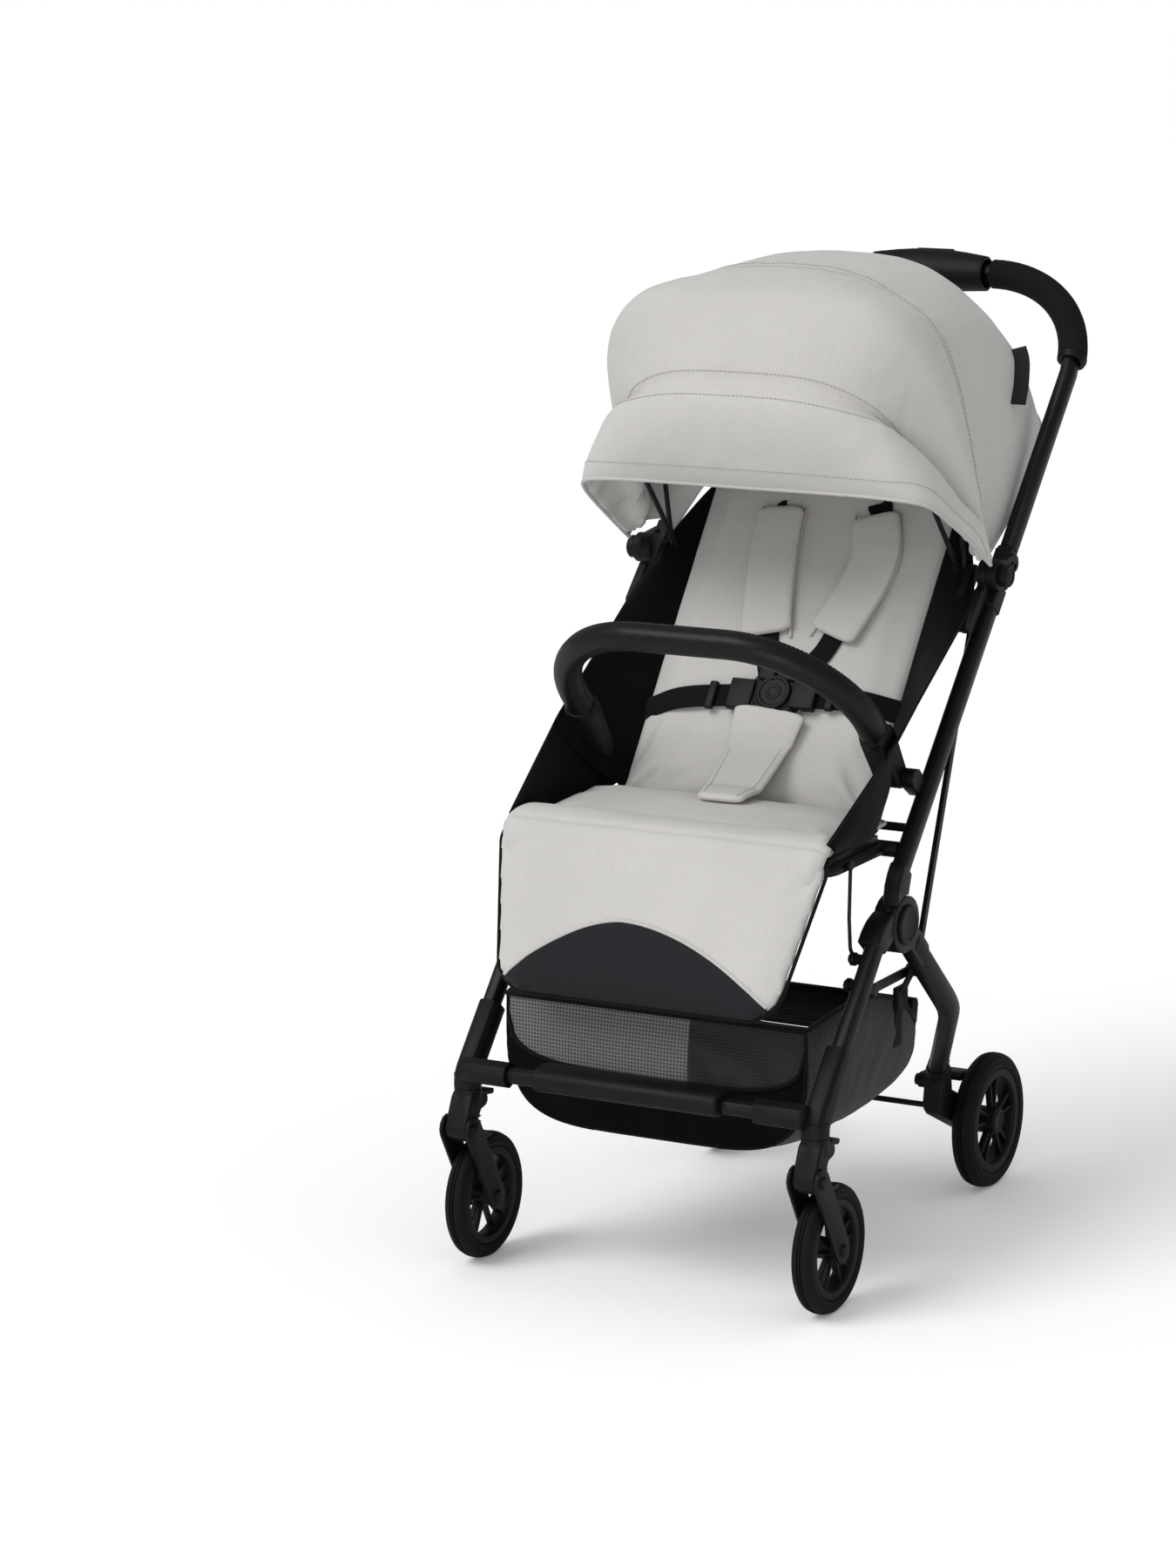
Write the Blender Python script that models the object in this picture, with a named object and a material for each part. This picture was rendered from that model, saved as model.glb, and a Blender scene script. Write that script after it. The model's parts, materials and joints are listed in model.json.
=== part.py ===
# Compact folding stroller, built as separate pieces in their unfolded places.
# Millimetres in this file, metres in the scene. X is across, -Y is the way the child faces, Z is up.
# Side-view points are (y, z) with y measured from the front axle; SHIFT centres the whole on the origin.
import bpy
import bmesh
import math
from mathutils import Vector

for old in list(bpy.data.objects):
    bpy.data.objects.remove(old, do_unlink=True)

MM = 0.001
SHIFT = -322.76
FIT = 0.3

# fold hub and the three tube lines that meet in it
HUB = (165.0, 386.0)
SIDE_DEG = 48.0
FRONT_DEG = -130.5
REAR_DEG = -43.6
TUBE_OFF = 36.0
LANE_IN = 204.0
LANE_OUT = 222.0
LANE_MID = 213.0
TUBE_PLANE = 22.5
DISC_R = 31.0
HUB_PIN_R = 5.0
DISC_FRONT = (196.5, 204.7)
DISC_SIDE = (205.0, 213.7)
DISC_REAR = (214.0, 222.7)

# wheels
REAR_AXLE = (489.0, 77.5)
REAR_R = 77.5
REAR_X = 171.0
REAR_W = 13.0
FRONT_AXLE = (0.0, 70.0)
FRONT_R = 70.0
FRONT_X = 211.0
FRONT_W = 12.0
SWIVEL_Y = -30.0
SWIVEL_Z = 200.0
ARM_PIVOT = (-47.8, 157.0)
SPRING_Y = -16.5

# handle joint and handle
JOINT_T = 409.0
JOINT_OFF = 58.0
BACK = 22.0
HANDLE_LEN = 416.0
HANDLE_BEND = 132.0
GRIP_R = 16.5
GRIP_START = 297.0
LEVER = (-50.9, -23.0)

# linkage
REAR_PIN_S = 100.0
WIRE_PIN_T = 64.0
BRACE_PIN_T = 95.0
BRACE_MID = (137.6, 317.0)
WIRE_TOP = (88.0, 465.0)

# seat group
SEAT_PIN = (185.0, 462.0)
SEAT_TUBE_R = 7.0
SEAT_TUBE_X = 183.5
LEG_PIN = (30.0, 470.0)
LEG_DEG = 246.6
BACK_PIN = (213.0, 480.0)
BACK_FOOT = (213.0, 498.0)
BACK_DEG = 54.0
BUMPER_PIN = (213.0, 535.0)
BUMPER_LINE = (210.0, 552.0)
BUMPER_DEG = 134.0
BUMPER_LEN = 194.0
BUMPER_R = 15.0
BUMPER_X = 179.5


def unit(deg):
    a = math.radians(deg)
    return (math.cos(a), math.sin(a))


def along(start, deg, t, off=0.0, side=1):
    d = unit(deg)
    n = (-d[1] * side, d[0] * side)
    return (start[0] + t * d[0] + off * n[0], start[1] + t * d[1] + off * n[1])


def on_side(t, off=TUBE_OFF):
    return along(HUB, SIDE_DEG, t, off)


def on_front(t, off=TUBE_OFF):
    return along(HUB, FRONT_DEG, t, off, -1)


def on_rear(s, off=0.0):
    return along(HUB, REAR_DEG, s, off)


JOINT = on_side(JOINT_T, JOINT_OFF)


def on_joint(t, n):
    return along(JOINT, SIDE_DEG, t, n)


def solid(verts, faces):
    bm = bmesh.new()
    vs = [bm.verts.new(v) for v in verts]
    for f in faces:
        bm.faces.new([vs[i] for i in f])
    bmesh.ops.recalc_face_normals(bm, faces=bm.faces[:])
    if bm.calc_volume(signed=True) < 0:
        bmesh.ops.reverse_faces(bm, faces=bm.faces[:])
    return bm


def soften(bm, width, limit=50.0, steps=1):
    sharp = [e for e in bm.edges if len(e.link_faces) == 2 and e.calc_face_angle() > math.radians(limit)]
    bmesh.ops.bevel(bm, geom=sharp, offset=width, segments=steps, affect='EDGES', clamp_overlap=True)
    return bm


def as_object(bm, name='tmp'):
    me = bpy.data.meshes.new(name)
    bm.to_mesh(me)
    bm.free()
    ob = bpy.data.objects.new(name, me)
    bpy.context.scene.collection.objects.link(ob)
    return ob


def ready(part):
    """Split the bent faces, so that none reaches the Boolean."""
    bm = part
    if isinstance(part, bpy.types.Object):
        bm = bmesh.new()
        bm.from_mesh(part.data)
    bm.normal_update()
    bent = []
    for f in bm.faces:
        c = f.calc_center_median()
        if len(f.verts) > 3 and max(abs((v.co - c).dot(f.normal)) for v in f.verts) > 1e-4:
            bent.append(f)
    bmesh.ops.triangulate(bm, faces=bent)
    if isinstance(part, bpy.types.Object):
        bm.to_mesh(part.data)
        bm.free()
        return part
    return as_object(bm)


def combine(base, other, how):
    base = ready(base)
    other = ready(other)
    mod = base.modifiers.new('b', 'BOOLEAN')
    mod.solver = 'EXACT'
    mod.operation = how
    mod.object = other
    graph = bpy.context.evaluated_depsgraph_get()
    me = bpy.data.meshes.new_from_object(base.evaluated_get(graph))
    base.modifiers.clear()
    base.data = me
    bpy.data.objects.remove(other, do_unlink=True)
    return base


def fuse(*parts):
    base = parts[0]
    for p in parts[1:]:
        base = combine(base, p, 'UNION')
    return base


def cut(base, *tools):
    for t in tools:
        base = combine(base, t, 'DIFFERENCE')
    return base


def ring_of(c, r, n=12):
    return [(c[0] + r * math.cos(2 * math.pi * i / n), c[1] + r * math.sin(2 * math.pi * i / n)) for i in range(n)]


def hull(points):
    pts = sorted(set((round(p[0], 5), round(p[1], 5)) for p in points))

    def half(seq):
        out = []
        for p in seq:
            while len(out) > 1:
                a = out[-2]
                b = out[-1]
                if (b[0] - a[0]) * (p[1] - a[1]) - (b[1] - a[1]) * (p[0] - a[0]) > 1e-9:
                    break
                out.pop()
            out.append(p)
        return out[:-1]
    return half(pts) + half(pts[::-1])


def slug(*circles):
    pts = []
    for c, r in circles:
        pts += ring_of(c, r, 12)
    return hull(pts)


def prism(outline, x0, x1, soft=0.0):
    n = len(outline)
    verts = [(x0, p[0], p[1]) for p in outline] + [(x1, p[0], p[1]) for p in outline]
    faces = [tuple(range(n)), tuple(range(2 * n - 1, n - 1, -1))]
    faces += [(i, (i + 1) % n, n + (i + 1) % n, n + i) for i in range(n)]
    bm = solid(verts, faces)
    if soft:
        soften(bm, soft)
    return bm


def rod(c, r, x0, x1, n=8):
    return prism(ring_of(c, r, n), x0, x1)


def hole_at(c, r, x0, x1, n=10):
    """Cutter for a running fit: its flats clear a pin of radius r by FIT."""
    return rod(c, (r + FIT) / math.cos(math.pi / n), x0, x1, n)


def post(x, y, r, z0, z1, n=12):
    ring = [(x + r * math.cos(2 * math.pi * i / n), y + r * math.sin(2 * math.pi * i / n)) for i in range(n)]
    verts = [(p[0], p[1], z0) for p in ring] + [(p[0], p[1], z1) for p in ring]
    faces = [tuple(range(n)), tuple(range(2 * n - 1, n - 1, -1))]
    faces += [(i, (i + 1) % n, n + (i + 1) % n, n + i) for i in range(n)]
    return solid(verts, faces)


def lathe(profile, c, n=28, closed=False):
    """Turn (x, r) points about an X axis through c; a facet, not a corner, lies at the bottom."""
    verts = []
    rows = []
    for x, r in profile:
        if r < 1e-6:
            rows.append([len(verts)] * n)
            verts.append((x, c[0], c[1]))
        else:
            row = []
            for i in range(n):
                a = 2 * math.pi * (i + 0.5) / n - math.pi / 2
                row.append(len(verts))
                verts.append((x, c[0] + r * math.cos(a), c[1] + r * math.sin(a)))
            rows.append(row)
    faces = []
    pairs = list(zip(rows, rows[1:]))
    if closed:
        pairs.append((rows[-1], rows[0]))
    for a, b in pairs:
        for i in range(n):
            j = (i + 1) % n
            f = [a[i], a[j], b[j], b[i]]
            f = [f[k] for k in range(4) if f[k] != f[k - 1]]
            if len(f) > 2:
                faces.append(tuple(f))
    return solid(verts, faces)


def oval(w, h, p=2.6, n=12):
    out = []
    for i in range(n):
        a = 2 * math.pi * i / n
        c = math.cos(a)
        s = math.sin(a)
        out.append((w / 2 * math.copysign(abs(c) ** (2 / p), c), h / 2 * math.copysign(abs(s) ** (2 / p), s)))
    return out


def fillet(points, radius, steps=5):
    pts = [Vector(p) for p in points]
    out = [pts[0]]
    for i in range(1, len(pts) - 1):
        a = (pts[i - 1] - pts[i]).normalized()
        b = (pts[i + 1] - pts[i]).normalized()
        half = a.angle(b) / 2
        reach = radius / math.tan(half)
        mid = pts[i] + (a + b).normalized() * (radius / math.sin(half))
        p = pts[i] + a * reach - mid
        q = pts[i] + b * reach - mid
        turn = p.angle(q)
        for k in range(steps + 1):
            s = k / steps
            w = (p * math.sin((1 - s) * turn) + q * math.sin(s * turn)) / math.sin(turn)
            out.append(mid + w)
    out.append(pts[-1])
    return out


def frames(path, flat):
    flat = Vector(flat).normalized()
    out = []
    for i, p in enumerate(path):
        before = (p - path[i - 1]).normalized() if i else None
        after = (path[i + 1] - p).normalized() if i < len(path) - 1 else None
        t = ((before or after) + (after or before)).normalized()
        side = t.cross(flat).normalized()
        stretch = 1.0 / max(0.3, (before or after).dot(t))
        out.append((p, side, flat, stretch))
    return out


def sweep(path, section, flat, inner=None):
    """Run a closed section of (sideways, along flat) points down a path; inner makes it a hollow sleeve."""
    rows = frames([Vector(p) for p in path], flat)
    verts = []
    n = len(section)
    loops = [section] if inner is None else [section, inner]
    for loop in loops:
        for p, side, up, stretch in rows:
            for a, b in loop:
                verts.append(tuple(p + side * (a * stretch) + up * b))
    m = len(rows)
    faces = []
    for k in range(len(loops)):
        base = k * m * n
        for i in range(m - 1):
            for j in range(n):
                q = (j + 1) % n
                faces.append((base + i * n + j, base + i * n + q, base + (i + 1) * n + q, base + (i + 1) * n + j))
    for end in (0, (m - 1) * n):
        if inner is None:
            faces.append(tuple(end + j for j in range(n)))
        else:
            for j in range(n):
                q = (j + 1) % n
                faces.append((end + j, end + q, m * n + end + q, m * n + end + j))
    return solid(verts, faces)


def side_path(points, x):
    return [(x, p[0], p[1]) for p in points]


def flipped(ob):
    me = ob.data.copy()
    for v in me.vertices:
        v.co.x = -v.co.x
    me.flip_normals()
    out = bpy.data.objects.new('flip', me)
    bpy.context.scene.collection.objects.link(out)
    return out


COLOURS = {
    'frame': (0.018, 0.018, 0.022, 1.0, 0.38),
    'plastic': (0.022, 0.022, 0.025, 1.0, 0.6),
    'tyre': (0.016, 0.016, 0.018, 1.0, 0.85),
    'chrome': (0.6, 0.6, 0.62, 1.0, 0.2),
    'grey': (0.56, 0.53, 0.51, 1.0, 0.9),
    'dark': (0.04, 0.037, 0.045, 1.0, 0.9),
    'leather': (0.02, 0.02, 0.023, 1.0, 0.5),
}


def put(name, ob, origin, look):
    if not isinstance(ob, bpy.types.Object):
        ob = as_object(ob)
    me = ob.data
    bm = bmesh.new()
    bm.from_mesh(me)
    bmesh.ops.dissolve_limit(bm, angle_limit=math.radians(0.3), verts=bm.verts[:], edges=bm.edges[:])
    bmesh.ops.triangulate(bm, faces=[f for f in bm.faces if len(f.verts) > 4])
    if all(len(e.link_faces) == 2 for e in bm.edges):
        bm.to_mesh(me)
    bm.free()
    at = Vector(origin)
    for v in me.vertices:
        v.co = (v.co - at) * MM
    ob.location = (at + Vector((0.0, SHIFT, 0.0))) * MM
    ob.name = name
    me.name = name
    me.materials.clear()
    mat = bpy.data.materials.new(name)
    mat.use_nodes = True
    shade = mat.node_tree.nodes['Principled BSDF']
    r, g, b, a, rough = COLOURS[look]
    shade.inputs['Base Color'].default_value = (r, g, b, a)
    shade.inputs['Roughness'].default_value = rough
    shade.inputs['Metallic'].default_value = 1.0 if look == 'chrome' else 0.0
    mat.diffuse_color = (r, g, b, a)
    me.materials.append(mat)
    for p in me.polygons:
        p.use_smooth = True
    me.set_sharp_from_angle(angle=math.radians(32))
    return ob


def pair(name, ob, origin, look):
    if not isinstance(ob, bpy.types.Object):
        ob = as_object(ob)
    put(name + '_right', ob, origin, look)
    ob = bpy.data.objects[name + '_right']
    at = Vector(origin)
    other = flipped(ob)
    for v in other.data.vertices:
        v.co = v.co / MM + Vector((-at.x, at.y, at.z))
    put(name + '_left', other, (-origin[0], origin[1], origin[2]), look)


X_AXIS = (1.0, 0.0, 0.0)
HUB_3D = (LANE_MID, HUB[0], HUB[1])
ELBOW = ((8, 20), (14, 27), (25, 33), (38, 36))
ELBOW_END = 50.0
ELBOW_HALF = 12.0


def hub_disc(lane):
    return cut(prism(ring_of(HUB, DISC_R, 24), lane[0], lane[1]), hole_at(HUB, HUB_PIN_R, 180, 240))


def elbow(place, lane_in, keep):
    """Moulded elbow: full width outside the disc stack, only the disc's own slice inside it."""
    pts = [place(ELBOW_END, TUBE_OFF - ELBOW_HALF), place(ELBOW_END, TUBE_OFF + ELBOW_HALF)]
    for p in ELBOW:
        pts += ring_of(place(*p), ELBOW_HALF, 14)
    body = prism(hull(pts), lane_in + 0.1, LANE_OUT + 0.4, 2.2)
    tools = [rod(HUB, DISC_R + 1.5, keep[1] - 0.1, 260, 24)]
    if keep[0] > lane_in + 0.5:
        tools.append(rod(HUB, DISC_R + 1.5, 150, keep[0] + 0.1, 24))
    return cut(body, *tools)


# rear legs: disc, tongue, tube bending inward below the elbow, linkage pin
rear_flat = (0.0,) + tuple(unit(REAR_DEG + 90))
REAR_BEND_S = 182.0
REAR_END_S = 321.7
REAR_END_X = 151.0
leg_path = fillet([(LANE_MID,) + on_rear(37), (LANE_MID,) + on_rear(REAR_BEND_S),
                   (REAR_END_X,) + on_rear(REAR_END_S)], 110.0, 4)
rear_leg = fuse(hub_disc(DISC_REAR),
                cut(prism(slug((on_rear(20), 13.5), (on_rear(60), 13.5)), DISC_REAR[0], DISC_REAR[1]),
                    hole_at(HUB, HUB_PIN_R, 180, 240)),
                sweep(leg_path, oval(22.0, 28.0, 2.8, 12), rear_flat))
pin = on_rear(REAR_PIN_S)
rear_leg = fuse(rear_leg, rod(pin, 3.5, 190.5, 204.5), rod(pin, 5.5, 188.6, 191.7))
pair('rear_leg', rear_leg, HUB_3D, 'frame')

hub_pin = lathe([(196.7, 0), (196.7, HUB_PIN_R), (223.0, HUB_PIN_R),
                 (223.0, 22.5), (225.2, 22.5), (226.6, 21), (226.6, 17), (225.9, 16), (225.9, 0)], HUB, 14)
pair('hub_pin', hub_pin, HUB_3D, 'plastic')

# rear mounts
ROD_AT = (404.0, 112.0)
PEDAL_PIN = (414.0, 138.0)
belly = (412.0, 116.0)
run = (Vector((REAR_END_X,) + on_rear(REAR_END_S)) - Vector((LANE_MID,) + on_rear(REAR_BEND_S))).normalized()
socket = Vector((REAR_END_X,) + on_rear(REAR_END_S)) + run * 0.5
collar = sweep([socket, socket + run * 12.0, (143.6,) + on_rear(354)], oval(24.0, 30.0, 2.8, 12), rear_flat)
mount = fuse(collar, prism(slug((on_rear(343), 12.5), (belly, 17)), 132, 155, 2.0),
             prism(slug((belly, 17), (REAR_AXLE, 17)), 133, 155, 2.0),
             rod(REAR_AXLE, 12, 150, 157.4), rod(REAR_AXLE, 5, 150, 179.5),
             rod(PEDAL_PIN, 4, 118, 140), rod(PEDAL_PIN, 7, 116.5, 119.7))
mount = cut(mount, hole_at(ROD_AT, 3.5, 110, 150.3))
pair('rear_mount', mount, (143.0,) + REAR_AXLE, 'plastic')
put('brake_rod', rod(ROD_AT, 3.5, -150, 150), (0.0,) + ROD_AT, 'frame')

pedal = fuse(prism(slug((PEDAL_PIN, 9), ((450.0, 138.0), 6)), 120, 130.6, 1.0),
             prism(slug(((449.0, 136.5), 5), ((480.0, 132.0), 5)), 120, 156.5, 1.5))
pedal = cut(pedal, hole_at(PEDAL_PIN, 4, 110, 140))
put('brake_pedal', pedal, (125.0,) + PEDAL_PIN, 'plastic')


WHEEL_N = 24


def wheel(x, axle, radius, half, bead, window, hub_r, hub_in, hub_out, bore, through, name):
    flat = 1.0 / math.cos(math.pi / WHEEL_N)

    def t(*pts):
        return [(x + a, r * flat) for a, r in pts]
    w = half
    tyre = lathe(t((-w + 3, bead), (-w, bead + 6), (-w + 1.6, radius - 4.5), (-w + 8, radius), (w - 8, radius),
                   (w - 1.6, radius - 4.5), (w, bead + 6), (w - 3, bead)), axle, WHEEL_N, True)
    pair(name + '_tyre', tyre, (x,) + axle, 'tyre')
    r = bead - 0.3
    rim = lathe(t((-w + 2, window + 2), (-w + 2, r), (w - 2, r), (w - 2, window + 2), (w - 5, window),
                  (-w + 5, window)), axle, WHEEL_N, True)
    parts = [as_object(rim)]
    for k in range(5):
        a = math.radians(90 + 72 * k)
        for s in (-1, 1):
            inner = (hub_r - 4, s * 3.2)
            outer = (window + 3, s * 10.0)
            line = []
            for d, o in ((inner[0], inner[1] - 1.8), (inner[0], inner[1] + 1.8), (outer[0], outer[1] + 1.8),
                         (outer[0], outer[1] - 1.8)):
                line.append((axle[0] + d * math.cos(a) - o * math.sin(a), axle[1] + d * math.sin(a) + o * math.cos(a)))
            parts.append(as_object(prism(line, x - w + 6, x + w - 6)))
    rim = parts[0]
    hub = lathe([(hub_in, 0), (hub_in, hub_r), (hub_out - 2, hub_r), (hub_out, hub_r - 3), (hub_out, 0)], axle, 14)
    spokes = fuse(hub, *parts[1:])
    rim = fuse(rim, spokes)
    rim = cut(rim, hole_at(axle, bore, hub_in - 5, hub_out + 5 if through else hub_out - 4))
    pair(name + '_rim', rim, (x,) + axle, 'plastic')


wheel(REAR_X, REAR_AXLE, REAR_R, REAR_W, 60.0, 49.0, 15.5, 158.0, 185.5, 5, False, 'rear')
wheel(FRONT_X, FRONT_AXLE, FRONT_R, FRONT_W, 54.0, 44.0, 12.0, 197.2, 224.8, 4, True, 'front')

# front legs with elbows and linkage pins
front_tube = sweep(side_path([on_front(46), on_front(171.8)], LANE_MID), oval(TUBE_PLANE, 18.0, 2.8, 12), X_AXIS)
wire_pin = on_front(WIRE_PIN_T)
brace_pin = on_front(BRACE_PIN_T)
front_leg = fuse(hub_disc(DISC_FRONT), elbow(on_front, DISC_FRONT[0], DISC_FRONT), front_tube,
                 rod(wire_pin, 6, 196.6, 206), rod(wire_pin, 3, 190, 198), rod(wire_pin, 5, 188.8, 191.2),
                 rod(brace_pin, 7, 200, 206), rod(brace_pin, 3, 194, 202), rod(brace_pin, 5.2, 193.2, 195.7))
front_leg = cut(front_leg, hole_at(HUB, HUB_PIN_R, 180, 240))
pair('front_leg', front_leg, HUB_3D, 'frame')

# lower fittings, crossbar and foot bar
CROSS = (-44.0, 224.0)
CROSS_R = 9.5
fit_x = 211.5
fit_path = fillet([(fit_x,) + on_front(172.2), (fit_x, SWIVEL_Y, 213.1), (fit_x, SWIVEL_Y, SWIVEL_Z + 0.7)], 26.0, 4)
fitting = fuse(sweep(fit_path, oval(29.0, 26.0, 3.0, 12), X_AXIS),
               rod(CROSS, 14.5, 150, 206), post(FRONT_X, SWIVEL_Y, 15.0, SWIVEL_Z + 0.3, SWIVEL_Z + 16))
fitting = cut(fitting, hole_at(CROSS, CROSS_R, 140, 176), post(FRONT_X, SWIVEL_Y, 5.6, SWIVEL_Z - 10, SWIVEL_Z + 26))
pair('front_fitting', fitting, HUB_3D, 'plastic')
put('front_crossbar', rod(CROSS, CROSS_R, -175.5, 175.5), (0.0,) + CROSS, 'frame')
tread = [(CROSS[0] + a, CROSS[1] + 3.5 + b) for a, b in oval(46.0, 28.0, 2.6, 18)]
foot = cut(prism(tread, -112, 112, 2.5), hole_at(CROSS, CROSS_R, -130, 130))
put('foot_bar', foot, (0.0,) + CROSS, 'plastic')

# casters: swivel head, sprung arm, coil, lock lever
LOCK = (-5.0, 189.0)
head = fuse(prism(slug((ARM_PIVOT, 11.6), ((-33.0, 185.0), 13)), 197.4, 224.6, 2.0),
            prism(slug(((-33.0, 185.0), 13), ((-18.0, 184.0), 9)), 197.4, 224.6, 2.0),
            post(FRONT_X, SWIVEL_Y, 15.0, 182, SWIVEL_Z - 0.3), post(FRONT_X, SWIVEL_Y, 5, SWIVEL_Z - 6, SWIVEL_Z + 25),
            prism(slug((LOCK, 4), ((-18.0, 188.0), 5)), 208, 214), rod(LOCK, 2, 203.4, 218.6))
head = cut(head, hole_at(ARM_PIVOT, 4, 180, 240))
pair('caster_head', head, (FRONT_X, SWIVEL_Y, SWIVEL_Z), 'plastic')
lever = fuse(prism(slug((LOCK, 4.2), ((5.0, 187.0), 3.2)), 204, 207.7), prism(slug((LOCK, 4.2), ((5.0, 187.0), 3.2)), 214.3, 218),
             prism(slug(((3.5, 187.2), 3.2), ((10.0, 186.0), 3.2)), 204, 218))
lever = cut(lever, hole_at(LOCK, 2, 190, 230))
pair('swivel_lock', lever, (FRONT_X,) + LOCK, 'plastic')
arm_line = slug((ARM_PIVOT, 15), (FRONT_AXLE, 15))
arm = fuse(prism(arm_line, 193, 196.5),
           prism([(-41.0, 140.5), (-39.5, 146.8), (-8.5, 146.8), (-8.5, 142.2)], 194, 228),
           prism(arm_line, 225.5, 229),
           rod(ARM_PIVOT, 4, 192, 230), rod(FRONT_AXLE, 4, 192, 230),
           rod(ARM_PIVOT, 7.5, 228, 232.5), rod(FRONT_AXLE, 7.5, 228, 232.5),
           rod(ARM_PIVOT, 7.5, 190, 194), rod(FRONT_AXLE, 7.5, 190, 194))
pair('caster_arm', arm, (FRONT_X,) + ARM_PIVOT, 'frame')

SPRING_LOW = 147.1
SPRING_TOP = 174.6
SPRING_R = 6.2
WIRE_R = 1.15
TURNS = 4.0


def coil(x, y, z0, z1, radius, wire, turns, around=10, sides=4):
    count = int(turns * around)
    rise = (z1 - z0 - 2 * wire) / turns
    path = []
    for i in range(count + 1):
        a = 2 * math.pi * i / around
        path.append(Vector((x + radius * math.cos(a), y + radius * math.sin(a), z0 + wire + rise * i / around)))
    print('coil gap to itself mm', round(rise - 2 * wire, 3))
    verts = []
    for i, p in enumerate(path):
        a = 2 * math.pi * i / around
        out = Vector((math.cos(a), math.sin(a), 0))
        run = Vector((-math.sin(a) * radius, math.cos(a) * radius, rise / (2 * math.pi))).normalized()
        up = run.cross(out).normalized()
        for k in range(sides):
            b = 2 * math.pi * k / sides
            verts.append(tuple(p + out * (wire * math.cos(b)) + up * (wire * math.sin(b))))
    faces = [tuple(range(sides)), tuple(range(count * sides, (count + 1) * sides))]
    for i in range(count):
        for k in range(sides):
            q = (k + 1) % sides
            faces.append((i * sides + k, i * sides + q, (i + 1) * sides + q, (i + 1) * sides + k))
    return solid(verts, faces)


pair('caster_spring', coil(FRONT_X, SPRING_Y, SPRING_LOW, SPRING_TOP, SPRING_R, WIRE_R, TURNS),
     (FRONT_X, SPRING_Y, SPRING_TOP), 'chrome')

# side tubes: disc, elbow, tube, seat, backrest and bumper pins
side_run = sweep(side_path([on_side(46), on_side(375.8)], LANE_MID), oval(TUBE_PLANE, 18.0, 2.8, 12), X_AXIS)
foot_of_bumper = on_side(144, 42)
side_tube = fuse(hub_disc(DISC_SIDE), elbow(on_side, LANE_IN, DISC_SIDE), side_run,
                 rod(SEAT_PIN, 4, 174, 206), rod(SEAT_PIN, 6.5, 172.6, 176.2),
                 rod(BACK_PIN, 5, 148, 206),
                 prism(slug((BUMPER_PIN, 11), (foot_of_bumper, 9)), 196.6, 212),
                 rod(BUMPER_PIN, 4, 174, 200))
side_tube = cut(side_tube, hole_at(HUB, HUB_PIN_R, 180, 240))
pair('side_tube', side_tube, HUB_3D, 'frame')

# joint collars with the ear that carries the canopy bows
J3 = (LANE_MID, JOINT[0], JOINT[1])
EAR = (-72.0, 3.0)
collar = prism([on_joint(*p) for p in ((-32.9, -34), (-0.3, -34), (-0.3, -10), (-32.9, -10))], LANE_IN, LANE_OUT, 2.0)
collar = cut(collar, rod(JOINT, 18.6, 214.2, 240, 18))
collar = fuse(collar, prism([on_joint(*p) for p in ((-31, -14), (-4, -14), (-4, 5), (-31, 5))], LANE_IN + 0.2, 213.7),
              prism(ring_of(JOINT, 17.3, 18), LANE_IN, 213.9),
              prism(slug((on_joint(*EAR), 6.5), (on_joint(-28, 0), 8)), LANE_IN + 0.4, 213.5),
              prism(ring_of(on_joint(*EAR), 5.6), 190, 208),
              prism(slug((on_joint(*EAR), 6.5), (JOINT, 10)), 186.8, 194.7),
              rod(JOINT, 4, 170, 190), rod(JOINT, 7.5, 168.6, 171.7),
              lathe([(212, 0), (212, 4.5), (226.4, 4.5), (226.4, 12.5), (235.5, 13), (237.4, 11),
                     (235.8, 7.5), (238.4, 0)], JOINT, 14))
pair('side_collar', collar, J3, 'plastic')

# handle: tube, grip sleeve, housing, button, joint brackets
handle_flat = (0.0,) + tuple(unit(SIDE_DEG + 90))


def handle_line(start, radius=HANDLE_BEND, steps=7):
    pts = [(LANE_MID,) + on_joint(start, -BACK), (LANE_MID,) + on_joint(HANDLE_LEN, -BACK),
           (-LANE_MID,) + on_joint(HANDLE_LEN, -BACK), (-LANE_MID,) + on_joint(start, -BACK)]
    return fillet(pts, radius, steps)


put('handle_tube', sweep(handle_line(46.6), oval(18.0, TUBE_PLANE, 2.8, 12), handle_flat), (0.0,) + JOINT, 'frame')
crossing = on_joint(HANDLE_LEN, -BACK)
up_handle = Vector((0.0,) + unit(SIDE_DEG))
grip_from = Vector((0.0,) + on_joint(GRIP_START, -BACK)).dot(up_handle)
grip_line = [p for p in handle_line(100) if p.dot(up_handle) > grip_from]
grip = sweep(grip_line, oval(2 * GRIP_R, 2 * GRIP_R, 2.0, 12), handle_flat,
             oval(18.0 + 2 * FIT, TUBE_PLANE + 2 * FIT, 2.8, 12))
put('handle_grip', grip, (0.0,) + JOINT, 'leather')



def across(t, n):
    return along(crossing, SIDE_DEG, t, n)


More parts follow.
